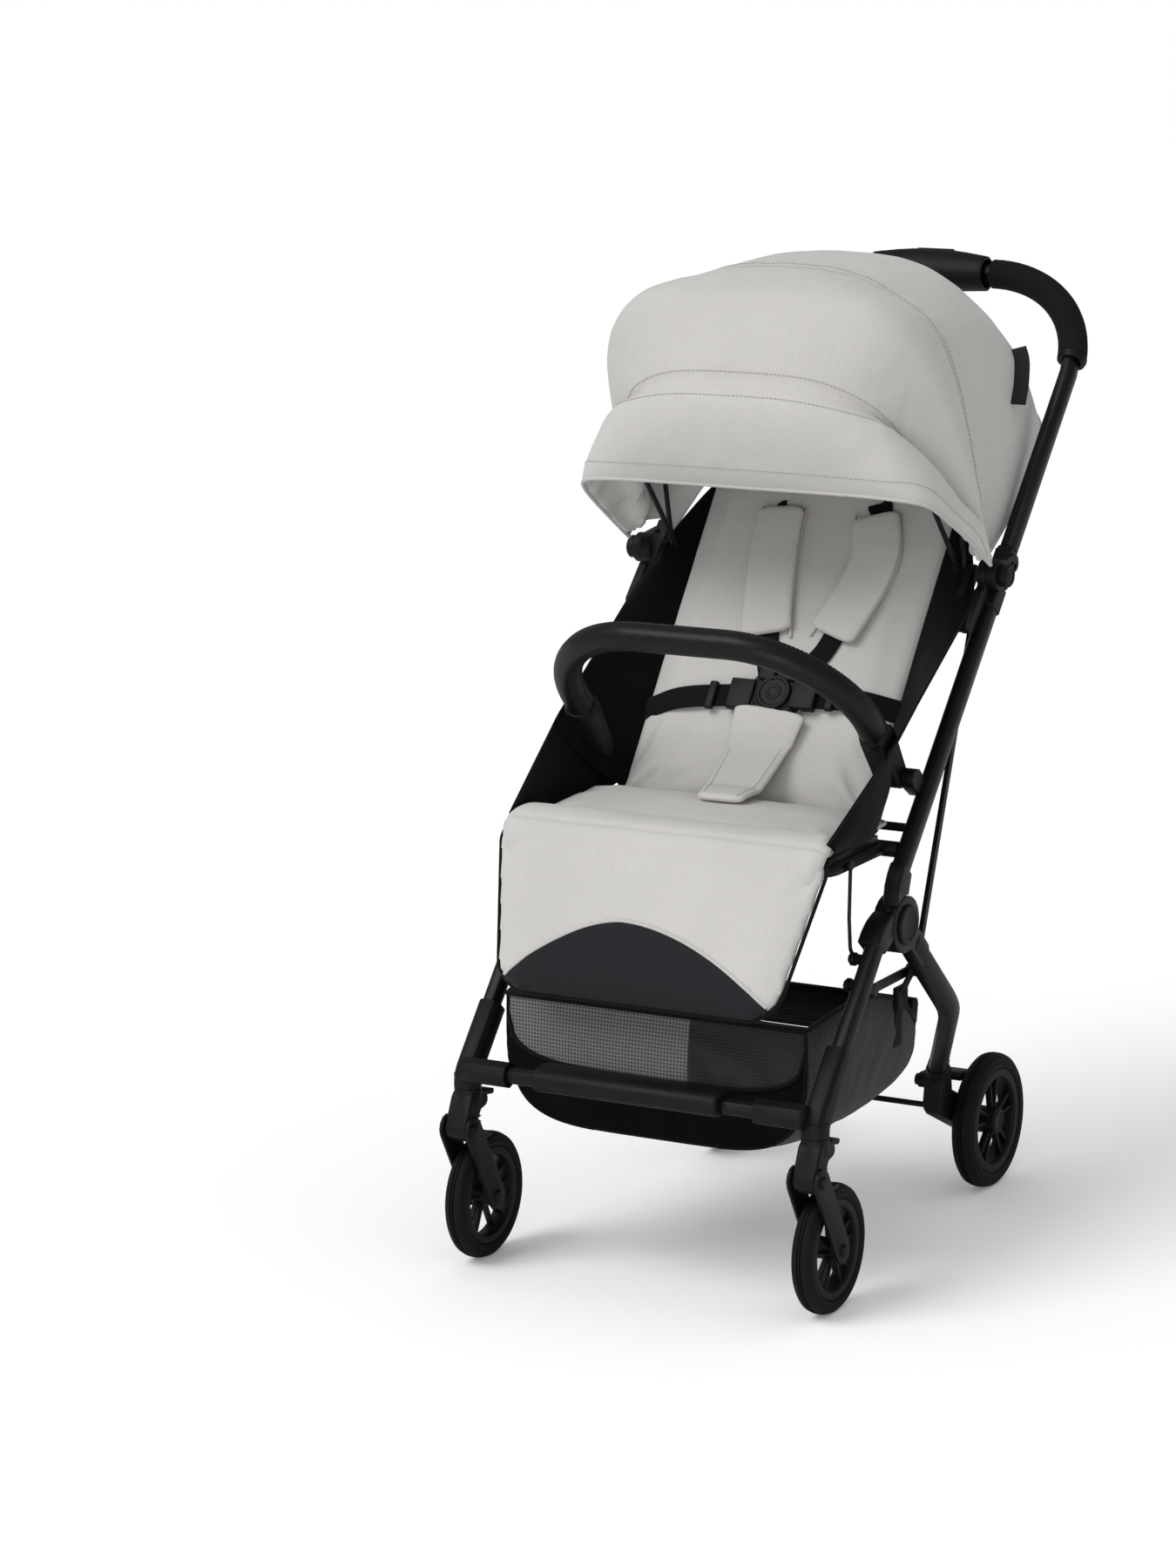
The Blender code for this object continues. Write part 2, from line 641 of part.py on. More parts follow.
HOUSING = ((-72, 37.8, 37.8), (-64, 39.5, 39.0), (-42, 44.0, 41.5), (-22, 47.0, 42.5), (22, 47.0, 42.5),
           (42, 44.0, 41.5), (64, 39.5, 39.0), (72, 37.8, 37.8))
BUTTON_LOW = 22.6
FLOOR = 19.0
rows = []
for x, deep, tall in HOUSING:
    push = (deep - 37.8) * 0.22
    rows.append([(x,) + across(a + push, b) for a, b in oval(deep, tall, 2.5, 16)])
count = len(rows[0])
faces = [tuple(range(count)), tuple(range(7 * count, 8 * count))]
for i in range(7):
    for j in range(count):
        q = (j + 1) % count
        faces.append((i * count + j, i * count + q, (i + 1) * count + q, (i + 1) * count + j))
shell = solid([p for row in rows for p in row], faces)
housing = cut(shell, rod(crossing, GRIP_R + FIT + 0.5, -90, 90, 12),
              prism([across(*p) for p in ((40, -7.3), (FLOOR, -7.3), (FLOOR, 7.3), (40, 7.3))], -24.3, 24.3))
put('handle_housing', housing, (0.0,) + crossing, 'plastic')
button = prism([across(*p) for p in ((29.0, -7), (BUTTON_LOW, -7), (BUTTON_LOW, 7), (29.0, 7))], -24, 24, 1.6)
put('fold_button', button, (0.0,) + across(26, 0), 'plastic')

bracket = prism([on_joint(*p) for p in ((0.3, -34), (46.3, -34), (46.3, -10), (0.3, -10))], LANE_IN, LANE_OUT, 2.0)
bracket = fuse(bracket, prism([on_joint(*p) for p in ((5, -31), (43, -31), (43, -13), (5, -13))], 201.8, 208))
web = prism(slug((JOINT, 14.5), (on_joint(30, -22), 11)), 214.6, 226, 1.2)
bracket = cut(bracket, rod(JOINT, 18.6, 195, 214.3, 18))
bracket = fuse(bracket, web, prism(ring_of(JOINT, 17.0, 18), 214.4, 226.1),
               prism(slug((on_joint(*LEVER), 8), (on_joint(-18, -23), 6.5)), 201.8, 203.7),
               prism(slug((on_joint(-20, -23), 6.5), (on_joint(14, -23), 6.5)), 201.8, 203.7))
bracket = cut(bracket, hole_at(JOINT, 4.5, 200, 240),
              prism([on_joint(*p) for p in ((12, -14), (24, -20), (13, -24))], 223.0, 230),
              prism([on_joint(*p) for p in ((17, -12), (29, -14), (28, -19))], 223.0, 230),
              prism([on_joint(*p) for p in ((19, -26), (30, -21), (32, -28))], 223.0, 230))
pair('handle_joint', bracket, J3, 'plastic')

# linkage bars, braces and wires
lever_pin = on_joint(*LEVER)
bar = fuse(prism(slug((pin, 4.2), (lever_pin, 4.2)), 196.3, 201.2), prism(ring_of(pin, 8), 196, 201.5),
           prism(ring_of(lever_pin, 7), 196, 201.5))
bar = cut(bar, hole_at(pin, 3.5, 180, 220))
pair('link_bar', bar, (198.7,) + pin, 'frame')
front_link = cut(fuse(prism(slug((brace_pin, 5), (BRACE_MID, 5)), 196.2, 199.5),
                      prism(ring_of(brace_pin, 8), 196, 199.7), prism(ring_of(BRACE_MID, 7), 196, 199.7)),
                 hole_at(brace_pin, 3, 180, 220))
pair('brace_front', front_link, (198.0,) + brace_pin, 'frame')
rear_link = cut(fuse(prism(slug((pin, 5), (BRACE_MID, 5)), 192.2, 195.5),
                     prism(ring_of(pin, 8), 192, 195.7), prism(ring_of(BRACE_MID, 7), 192, 195.7)),
                hole_at(pin, 3.5, 180, 220))
pair('brace_rear', rear_link, (194.0,) + pin, 'frame')
WIRE_X = 193.9
wire_path = fillet(side_path([wire_pin, (87.0, 374.0), (84.5, 408.0), WIRE_TOP], WIRE_X), 9.0, 2)
wire = fuse(sweep(wire_path, oval(4.2, 4.2, 2.0, 8), X_AXIS), prism(ring_of(wire_pin, 7.5), 191.5, 196.2),
            prism(ring_of(WIRE_TOP, 6.5), 191.3, 196.3, 1.2))
wire = cut(wire, hole_at(wire_pin, 3, 180, 220))
pair('wire_link', wire, (WIRE_X,) + wire_pin, 'frame')

# seat frame with leg rest lugs
FRONT_TUBE = (55.0, 462.0)
tube_line = fillet([(SEAT_TUBE_X,) + SEAT_PIN, (SEAT_TUBE_X,) + FRONT_TUBE, (-SEAT_TUBE_X,) + FRONT_TUBE,
                    (-SEAT_TUBE_X,) + SEAT_PIN], 22.0, 3)
LUG_X = 110.0
base = fuse(sweep(tube_line, oval(14.0, 14.0, 2.0, 10), (0, 0, 1)), rod(SEAT_PIN, 9, 176.5, 203.7), rod(SEAT_PIN, 9, -203.7, -176.5))
for s in (-1, 1):
    a = s * LUG_X
    base = fuse(base, prism(slug((LEG_PIN, 6), (FRONT_TUBE, 5)), a - 4, a + 4), rod(LEG_PIN, 3.5, a - 13, a + 13))
base = fuse(base, prism([(62, 466), (178, 466), (178, 477.4), (62, 473.0)], -182, 182))
base = cut(base, hole_at(SEAT_PIN, 4, -220, 220))
put('seat_base_frame', base, (0.0,) + SEAT_PIN, 'frame')


def spread(n):
    out = []
    for i in range(n + 1):
        a = 2 * i / n - 1
        out.append(math.copysign(math.sin(math.pi / 2 * abs(a)), a))
    return out


def round_end(v, length, half, r_lo, r_hi):
    d = v * length
    lo = max(0.0, r_lo - d)
    hi = max(0.0, r_hi - (length - d))
    return half - (r_lo - math.sqrt(max(0.0, r_lo ** 2 - lo ** 2))) - (r_hi - math.sqrt(max(0.0, r_hi ** 2 - hi ** 2)))


def cushion(start, deg, length, half_at, thick, crown, rows, channels=(), dip=4.0, across_n=10, back=0.75):
    """Pad on a slanted plane: rounded rim, crowned face, stitched channels across it."""
    d = unit(deg)
    n = (-d[1], d[0])
    cols = spread(across_n)
    top = []
    low = []
    for v in rows:
        e = 2 * v - 1
        g_v = max(0.0, 1 - abs(e) ** 6) ** 0.42
        t_row = []
        l_row = []
        for s in cols:
            g = g_v * max(0.0, 1 - abs(s) ** 6) ** 0.42
            x = s * half_at(v)
            w = thick / 2 * g + crown * (1 - s * s) * (1 - e * e)
            for c in channels:
                w -= dip * math.exp(-((v - c) * length / 4.0) ** 2) * g
            u = v * length
            mid = -thick / 2
            for row, h in ((t_row, mid + w), (l_row, mid - thick / 2 * back * g)):
                row.append((x, start[0] + u * d[0] + h * n[0], start[1] + u * d[1] + h * n[1]))
        top.append(t_row)
        low.append(l_row)
    m = len(cols)
    k = len(rows)
    verts = []
    index = {}
    for i in range(k):
        for j in range(m):
            index[('t', i, j)] = len(verts)
            verts.append(top[i][j])
            if i in (0, k - 1) or j in (0, m - 1):
                index[('l', i, j)] = index[('t', i, j)]
            else:
                index[('l', i, j)] = len(verts)
                verts.append(low[i][j])
    faces = []
    for i in range(k - 1):
        for j in range(m - 1):
            q = [(i, j), (i, j + 1), (i + 1, j + 1), (i + 1, j)]
            faces.append(tuple(index[('t',) + p] for p in q))
            faces.append(tuple(index[('l',) + p] for p in q[::-1]))
    return solid(verts, faces)


def rows_with(channels, n=10, tight=0.014):
    vs = set(round(0.5 - 0.5 * math.cos(math.pi * i / n), 4) for i in range(n + 1))
    for c in channels:
        vs = set(v for v in vs if abs(v - c) > 1.8 * tight)
        vs |= {c - tight, c, c + tight}
    return sorted(vs)


# pads
SEAT_LEN = 150.0
seat_ch = (0.36, 0.70)
seat_pad = cushion((50.0, 490.0), 2.2, SEAT_LEN, lambda v: round_end(v, SEAT_LEN, 183.0, 26.0, 12.0), 19.5, 7.0,
                   rows_with(seat_ch), seat_ch, 3.0)
put('seat_pad', seat_pad, (0.0, 125.0, 480.0), 'grey')

REST_LEN = 181.0
rest_ch = (0.30, 0.62)
rest_start = along(LEG_PIN, LEG_DEG, -14.0, -2.5)
rest = cushion(along(LEG_PIN, LEG_DEG, -13.5, 0.0), LEG_DEG + 180, -REST_LEN,
               lambda v: round_end(v, REST_LEN, 199.0 - 34.0 * v, 22.0, 34.0), -15.0, -3.0,
               rows_with(rest_ch), rest_ch, -2.5)
for s in (-1, 1):
    a = s * LUG_X
    rest = cut(rest, prism(ring_of((LEG_PIN[0] + 0.7, LEG_PIN[1] + 0.4), 23.1, 11), a - 5.1, a + 5.1))
    rest = cut(rest, hole_at(LEG_PIN, 3.5, a - 13.6, a + 13.6))
put('leg_rest_pad', rest, (0.0,) + LEG_PIN, 'grey')

BACK_LEN = 512.0
back_ch = (0.30, 0.56, 0.82)
back_pad = cushion(along(BACK_FOOT, BACK_DEG, -22.0), BACK_DEG, BACK_LEN,
                   lambda v: round_end(v, BACK_LEN, 158.0, 14.0, 60.0), 30.0, 5.0,
                   rows_with(back_ch, 10), back_ch, 4.0)
back_pad = cut(back_pad, hole_at(BACK_PIN, 5, 147.5, 180), hole_at(BACK_PIN, 5, -180, -147.5))
put('backrest_pad', back_pad, (0.0,) + BACK_PIN, 'grey')

# bumper bar
bump_flat = (0.0,) + tuple(unit(BUMPER_DEG + 90))
tip = along(BUMPER_LINE, BUMPER_DEG, BUMPER_LEN)
foot_pt = along(BUMPER_LINE, BUMPER_DEG, 22)
bump_path = fillet([(BUMPER_X,) + foot_pt, (BUMPER_X,) + tip, (-BUMPER_X,) + tip, (-BUMPER_X,) + foot_pt], 126.0, 7)
bumper = sweep(bump_path, oval(2 * BUMPER_R, 2 * BUMPER_R, 2.0, 12), bump_flat)
for s in (-1, 1):
    lo, hi = sorted((s * 165.5, s * 196.2))
    bumper = fuse(bumper, prism(slug((BUMPER_PIN, 12.5), (along(BUMPER_LINE, BUMPER_DEG, 44), 16)), lo, hi, 3.0))
bumper = cut(bumper, hole_at(BUMPER_PIN, 4, 173.5, 210), hole_at(BUMPER_PIN, 4, -210, -173.5))
put('bumper_bar', bumper, (0.0,) + BUMPER_PIN, 'leather')

# canopy cover over two bows that swing about the handle joint
COVER = (
    (149.0, ((0, 209), (60, 210), (107, 209), (165, 208), (205, 196), (216, 165), (221, 110), (225, 30))),
    (130.0, ((0, 289), (67, 288), (100, 279), (128, 264), (155, 240), (180, 170), (202, 80), (222, 30))),
    (116.0, ((0, 345), (75, 345), (115, 338), (148, 322), (172, 294), (193, 256), (208, 170), (219, 32))),
    (102.0, ((0, 343), (75, 340), (109, 318), (145, 295), (173, 267), (190, 200), (200, 120), (212, 34))),
    (76.0, ((0, 346), (75, 342), (116, 324), (148, 294), (175, 258), (189, 190), (195, 110), (199, 34))),
    (52.0, ((0, 345), (80, 338), (125, 316), (157, 285), (181, 250), (190, 180), (195, 105), (198, 34))),
    (31.0, ((0, 318), (80, 312), (125, 300), (155, 282), (178, 248), (188, 175), (194, 100), (197, 36))),
)
SKIN = 2.2


def curve_through(points, n):
    pts = [Vector(p) for p in points]
    ext = [2 * pts[0] - pts[1]] + pts + [2 * pts[-1] - pts[-2]]
    out = []
    for i in range(n + 1):
        s = i / n * (len(pts) - 1)
        k = min(int(s), len(pts) - 2)
        t = s - k
        a, b, c, d = ext[k:k + 4]
        out.append(0.5 * ((2 * b) + (c - a) * t + (2 * a - 5 * b + 4 * c - d) * t * t + (3 * b - a - 3 * c + d) * t ** 3))
    return out


def cover_grid():
    rows = []
    for deg, prof in COVER:
        c = curve_through([(p[0], p[1], 0) for p in prof], 10)
        u = unit(deg)
        line = [Vector((p.x, JOINT[0] + p.y * u[0], JOINT[1] + p.y * u[1])) for p in c]
        rows.append([Vector((-p.x, p.y, p.z)) for p in line[:0:-1]] + line)
    ext = [rows[0]] + rows + [rows[-1]]
    fine = []
    for i in range(len(rows) - 1):
        for k in range(2):
            t = k / 2
            row = []
            for a, b, c, d in zip(*ext[i:i + 4]):
                bent = 0.5 * ((2 * b) + (c - a) * t + (2 * a - 5 * b + 4 * c - d) * t * t
                              + (3 * b - a - 3 * c + d) * t ** 3)
                row.append(bent.lerp(b.lerp(c, t), 0.35))
            fine.append(row)
    fine.append(rows[-1])
    return fine


def thick_skin(grid, depth, away_from):
    m = len(grid)
    n = len(grid[0])
    inner = []
    for i in range(m):
        row = []
        for j in range(n):
            a = grid[min(i + 1, m - 1)][j] - grid[max(i - 1, 0)][j]
            b = grid[i][min(j + 1, n - 1)] - grid[i][max(j - 1, 0)]
            nn = a.cross(b).normalized()
            if nn.dot(grid[i][j] - away_from) < 0:
                nn = -nn
            row.append(grid[i][j] - nn * depth)
        inner.append(row)
    verts = [tuple(p) for row in grid for p in row] + [tuple(p) for row in inner for p in row]
    k = m * n
    faces = []
    for i in range(m - 1):
        for j in range(n - 1):
            q = (i * n + j, i * n + j + 1, (i + 1) * n + j + 1, (i + 1) * n + j)
            faces.append(q)
            faces.append(tuple(k + v for v in q[::-1]))
    edge = [i * n for i in range(m)] + [(m - 1) * n + j for j in range(1, n)]
    edge += [i * n + n - 1 for i in range(m - 2, -1, -1)] + list(range(n - 2, 0, -1))
    for a, b in zip(edge, edge[1:] + edge[:1]):
        faces.append((a, b, k + b, k + a))
    return solid(verts, faces)


canopy = thick_skin(cover_grid(), SKIN, Vector((0.0, JOINT[0], JOINT[1] + 60)))
put('canopy', canopy, (0.0,) + JOINT, 'grey')


def bow(deg, prof, inset, lane, name):
    mid = (lane[0] + lane[1]) / 2
    c = curve_through([(p[0], p[1], 0) for p in prof], 8)
    pts = [(mid, 0.0)]
    for i in range(len(c) - 1, -1, -1):
        t = (c[max(i - 1, 0)] - c[min(i + 1, len(c) - 1)]).normalized()
        nn = Vector((-t.y, t.x, 0))
        p = c[i] + nn * inset
        if abs(p.x - c[i].x) < 1e-9 and p.y > c[i].y:
            p = c[i] - nn * inset
        if p.length > c[i].length:
            p = c[i] - nn * inset
        pts.append((max(0.0, min(mid, p.x)), p.y))
    pts[-1] = (0.0, pts[-2][1] + 0.3)
    u = unit(deg)
    line = [Vector((x, JOINT[0] + r * u[0], JOINT[1] + r * u[1])) for x, r in pts if x == 0.0 or r == 0.0 or r > 60]
    line = [line[0]] + [p for p in line[1:] if (p - line[0]).length > 1]
    full = line + [Vector((-p.x, p.y, p.z)) for p in line[-2::-1]]
    flat = (0.0, -u[1], u[0])
    body = sweep(full, oval(6.4, 6.4, 2.0, 6), flat)
    for s in (-1, 1):
        lo, hi = sorted((s * lane[0], s * lane[1]))
        body = fuse(body, rod(JOINT, 8, lo, hi))
    body = cut(body, hole_at(JOINT, 4, -200, 200))
    put(name, body, (0.0,) + JOINT, 'frame')


bow(130.0, COVER[1][1], 10.4, (172.0, 178.8), 'canopy_bow_front')
bow(102.0, COVER[3][1], 10.0, (179.1, 186.4), 'canopy_bow_mid')


# harness on the backrest: two padded shoulder straps, crotch strap, lap straps, all meeting behind the buckle
def on_back(u, w):
    return along(BACK_FOOT, BACK_DEG, u, w)


BUCKLE_U = 116.0
BUCKLE_X = 12.0
back_flat = (0.0,) + tuple(unit(BACK_DEG + 90))


def strap(points, wide, thick):
    path = [Vector((x,) + on_back(u, w)) for x, u, w in points]
    rows = frames(path, back_flat)
    sec = oval(wide, thick, 5.0, 8)
    verts = []
    for p, side, up, stretch in rows:
        verts += [tuple(p + side * a + up * b) for a, b in sec]
    n = len(sec)
    faces = [tuple(range(n)), tuple(range((len(path) - 1) * n, len(path) * n))]
    for i in range(len(path) - 1):
        for j in range(n):
            q = (j + 1) % n
            faces.append((i * n + j, i * n + q, (i + 1) * n + q, (i + 1) * n + j))
    return solid(verts, faces)


ON_PAD = 10.9
knot = strap([(BUCKLE_X, BUCKLE_U - 19, ON_PAD), (BUCKLE_X, BUCKLE_U + 19, ON_PAD)], 34, 4)
bits = [strap([(-38, 345, 6.4), (-40, 330, 8.4), (-28, 250, 10.4), (-16, 185, 11.4), (2, BUCKLE_U + 8, ON_PAD)], 24, 2.6),
        strap([(70, 345, 6.4), (72, 330, 8.4), (74, 260, 10.4), (62, 190, 12.4), (24, BUCKLE_U + 8, ON_PAD)], 24, 2.6),
        strap([(-44, 334, 8.9), (-34, 262, 10.9), (-17, 186, 12.4)], 46, 9),
        strap([(74, 334, 8.9), (80, 262, 10.9), (60, 190, 12.4)], 46, 9),
        strap([(BUCKLE_X, BUCKLE_U, ON_PAD), (4, 76, 12.4), (-8, 20, 14.4), (-10, 8, 20.4)], 26, 2.6),
        strap([(6, 84, 12.9), (-9, 16, 16.4)], 58, 8),
        strap([(-2, BUCKLE_U - 4, ON_PAD), (-60, 106, 8.5), (-104, 101, 5.6), (-138, 97, 1.9)], 22, 2.6),
        strap([(26, BUCKLE_U - 2, ON_PAD), (80, 113, 7.8), (108, 113, 5.4), (141, 112, 1.6)], 22, 2.6)]
put('harness', fuse(knot, *bits), (0.0,) + BACK_PIN, 'dark')


def dial(u0, w0, r, thick, soft, hole=0.0, hole_floor=0.0):
    n = 18
    c = Vector((BUCKLE_X,) + on_back(u0, w0))
    side = Vector((1, 0, 0))
    d = Vector((0.0,) + unit(BACK_DEG))
    up = Vector(back_flat)
    prof = [(0, 0), (r, 0), (r, thick - soft), (r - soft * 0.35, thick - soft * 0.35), (r - soft, thick)]
    prof += [(hole, thick), (hole, hole_floor), (0, hole_floor)] if hole else [(0, thick)]
    verts = []
    rows = []
    for rr, h in prof:
        if rr == 0:
            rows.append([len(verts)] * n)
            verts.append(tuple(c + up * h))
        else:
            row = []
            for i in range(n):
                a = 2 * math.pi * i / n
                row.append(len(verts))
                verts.append(tuple(c + side * (rr * math.cos(a)) + d * (rr * math.sin(a)) + up * h))
            rows.append(row)
    faces = []
    for a, b in zip(rows, rows[1:]):
        for i in range(n):
            j = (i + 1) % n
            f = [a[i], a[j], b[j], b[i]]
            f = [f[k] for k in range(4) if f[k] != f[k - 1]]
            if len(f) > 2:
                faces.append(tuple(f))
    return solid(verts, faces)


put('buckle', dial(BUCKLE_U, ON_PAD + 2.5, 25.0, 14.0, 3.5, 11.0, 7.0), (BUCKLE_X,) + on_back(BUCKLE_U, 13), 'plastic')
put('buckle_button', dial(BUCKLE_U, ON_PAD + 11.9, 10.6, 6.2, 1.2), (BUCKLE_X,) + on_back(BUCKLE_U, 23), 'chrome')

# basket: thin-walled cloth trough
BASKET = ((8, 181, 300, 186), (60, 184, 306, 168), (120, 186, 306, 160), (190, 184, 282, 160), (250, 180, 254, 164),
          (300, 166, 238, 170), (345, 146, 226, 178), (386, 128, 222, 190))


def trough(stations, inset, lift):
    rows = []
    for i, (y, half, top, low) in enumerate(stations):
        yy = y + (inset if i == 0 else -inset if i == len(stations) - 1 else 0.0)
        w = half - inset
        b = low + inset
        sec = [(w, top + lift), (w - 2, (top + b) / 2), (w - 8, b + 22), (w - 26, b + 5), (w * 0.5, b - 2), (0, b - 7)]
        rows.append([(x, yy, z) for x, z in sec] + [(-x, yy, z) for x, z in sec[-2::-1]])
    n = len(rows[0])
    verts = [p for r in rows for p in r]
    faces = [tuple(range(n)), tuple(range((len(rows) - 1) * n, len(rows) * n))]
    for i in range(len(rows) - 1):
        for j in range(n):
            q = (j + 1) % n
            faces.append((i * n + j, i * n + q, (i + 1) * n + q, (i + 1) * n + j))
    return solid(verts, faces)


basket = cut(trough(BASKET, 0.0, 0.0), trough(BASKET, 2.2, 6.0))
for s in (-1, 1):
    lo, hi = sorted((s * 181.2, s * 203.6))
    basket = fuse(basket, prism([(34, 288), (46, 288), (46, 296), (34, 296)], lo, hi))
put('basket', basket, (0.0, 200.0, 200.0), 'dark')

lo = [1e9, 1e9, 1e9]
hi = [-1e9, -1e9, -1e9]
for ob in bpy.data.objects:
    for v in ob.data.vertices:
        p = ob.location + v.co
        for k in range(3):
            lo[k] = min(lo[k], p[k])
            hi[k] = max(hi[k], p[k])
print('box mm', [round(v * 1000, 2) for v in lo], [round(v * 1000, 2) for v in hi],
      'y centre', round((lo[1] + hi[1]) * 500, 3), 'pieces', len(bpy.data.objects))
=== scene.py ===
# %% [markdown]
# # A compact stroller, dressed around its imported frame
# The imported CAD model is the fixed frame: every tube, pin and wheel already stands where it belongs. This
# lesson gives each hard piece softened edges and a real finish, and puts sewn pieces in place of the plain
# soft solids. Positions are written in millimetres, with y counted from the front axle, and `at` turns them
# into scene metres.

# %% Load the frame
import bmesh
import bpy
import json
import math
from mathutils import Matrix, Vector, noise
from mathutils.bvhtree import BVHTree


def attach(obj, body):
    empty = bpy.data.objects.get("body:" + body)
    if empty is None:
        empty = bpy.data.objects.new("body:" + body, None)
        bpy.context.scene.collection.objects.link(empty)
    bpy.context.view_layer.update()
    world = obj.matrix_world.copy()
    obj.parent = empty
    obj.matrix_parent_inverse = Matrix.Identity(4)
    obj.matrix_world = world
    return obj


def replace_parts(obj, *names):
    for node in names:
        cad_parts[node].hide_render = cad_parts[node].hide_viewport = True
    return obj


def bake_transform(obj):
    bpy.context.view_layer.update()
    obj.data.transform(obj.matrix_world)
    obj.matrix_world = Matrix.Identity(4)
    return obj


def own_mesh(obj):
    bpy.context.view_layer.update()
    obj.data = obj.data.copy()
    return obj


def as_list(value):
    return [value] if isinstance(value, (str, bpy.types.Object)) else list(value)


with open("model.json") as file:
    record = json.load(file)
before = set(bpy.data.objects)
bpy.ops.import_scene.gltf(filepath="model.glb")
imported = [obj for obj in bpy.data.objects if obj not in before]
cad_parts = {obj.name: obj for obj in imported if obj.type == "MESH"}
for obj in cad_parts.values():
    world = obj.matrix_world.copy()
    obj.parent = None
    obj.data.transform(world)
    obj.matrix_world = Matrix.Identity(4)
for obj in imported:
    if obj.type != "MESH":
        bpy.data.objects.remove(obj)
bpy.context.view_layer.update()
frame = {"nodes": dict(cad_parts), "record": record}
AXLE_Y = -322.76
JOINT = (395.57, 728.76)
FRAME_DEG = 48.0
BACK_FOOT = (213.0, 498.0)
BACK_DEG = 54.0
body_of_node = {n: b for b, names in frame["record"]["behaviour"]["bodies"].items() for n in names}
print("CAD nodes", len(body_of_node))


def at(x, y, z):
    return Vector((x, y + AXLE_Y, z)) / 1000.0


def along(start, deg, u, w=0.0):
    c, s = math.cos(math.radians(deg)), math.sin(math.radians(deg))
    return start[0] + u * c - w * s, start[1] + u * s + w * c


# %% [markdown]
# ## Small helpers for meshes
# A grid made by an operator and then moved point by point gives any curved sheet. A spin gives any turned
# shape. Both end in `show`, which makes the object, smooths it and keeps real corners crisp.

# %% Mesh helpers
def put(name, data):
    thing = bpy.data.objects.new(name, data)
    bpy.context.scene.collection.objects.link(thing)
    return thing


def show(name, bm, material, corner=38.0, body=None):
    bmesh.ops.recalc_face_normals(bm, faces=bm.faces)
    mesh = bpy.data.meshes.new(name)
    bm.to_mesh(mesh)
    bm.free()
    mesh.shade_smooth()
    mesh.set_sharp_from_angle(angle=math.radians(corner))
    piece = put(name, mesh)
    mesh.materials.append(material)
    if body:
        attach(piece, body)
    return piece


def spline(points, count):
    pts = [Vector(p) for p in points]
    ext = [2 * pts[0] - pts[1]] + pts + [2 * pts[-1] - pts[-2]]
    out = []
    for i in range(count + 1):
        s = i / count * (len(pts) - 1)
        k = min(int(s), len(pts) - 2)
        t = s - k
        a, b, c, d = ext[k:k + 4]
        out.append(0.5 * (2 * b + (c - a) * t + (2 * a - 5 * b + 4 * c - d) * t * t
                          + (3 * b - a - 3 * c + d) * t ** 3))
    return out


def on_line(line, s):
    k = min(int(s * (len(line) - 1)), len(line) - 2)
    return line[k].lerp(line[k + 1], s * (len(line) - 1) - k)


def sheet_mesh(place, nu, nv):
    """A grid with every point moved to place(u, v). Both run from 0 to 1, and the UV map keeps them."""
    bm = bmesh.new()
    bmesh.ops.create_grid(bm, x_segments=nu, y_segments=nv, size=1.0)
    reach = max(v.co.x for v in bm.verts)
    uv = bm.loops.layers.uv.new("cloth")
    for face in bm.faces:
        for loop in face.loops:
            loop[uv].uv = ((loop.vert.co.x / reach + 1) / 2, (loop.vert.co.y / reach + 1) / 2)
    for v in bm.verts:
        v.co = place((v.co.x / reach + 1) / 2, (v.co.y / reach + 1) / 2)
    return bm


def thicken(piece, metres, inward=True):
    wall = piece.modifiers.new("wall", "SOLIDIFY")
    wall.thickness = metres
    wall.offset = -1.0 if inward else 1.0
    return piece


# %% [markdown]
# Piping, seams and sleeves are a round run along a line. A wheel or a ring is a profile spun round its
# axis. A row of stitches is many short rods, because real thread shows as separate dashes.

# %% Lines, turned shapes and thread
def rope(name, points, radius, material, body=None, sides=8, closed=False):
    """A round piping or tube along a line: a ring is made once and extruded from point to point."""
    bm = bmesh.new()
    ring = bmesh.ops.create_circle(bm, segments=sides, radius=radius)["verts"]
    pts = [Vector(p) for p in points]
    first = ring
    normal = Vector((0, 0, 1))
    edges = list({e for v in ring for e in v.link_edges})
    start = edges
    for i, p in enumerate(pts):
        ahead = pts[(i + 1) % len(pts)] if closed else pts[min(i + 1, len(pts) - 1)]
        behind = pts[i - 1] if closed else pts[max(i - 1, 0)]
        turn = normal.rotation_difference((ahead - behind).normalized()).to_matrix()
        if i:
            edges = [g for g in bmesh.ops.extrude_edge_only(bm, edges=edges)["geom"] if isinstance(g,
                    bmesh.types.BMEdge)]
            ring = list({v for e in edges for v in e.verts})
            edges = [e for e in edges if all(v in ring for v in e.verts)]
        middle = sum((v.co for v in ring), Vector()) / len(ring)
        for v in ring:
            v.co = p + turn @ (v.co - middle)
        normal = (ahead - behind).normalized()
    if closed:
        bmesh.ops.bridge_loops(bm, edges=edges + start)
    else:
        bmesh.ops.contextual_create(bm, geom=edges)
        bmesh.ops.contextual_create(bm, geom=start)
    return show(name, bm, material, 60.0, body)


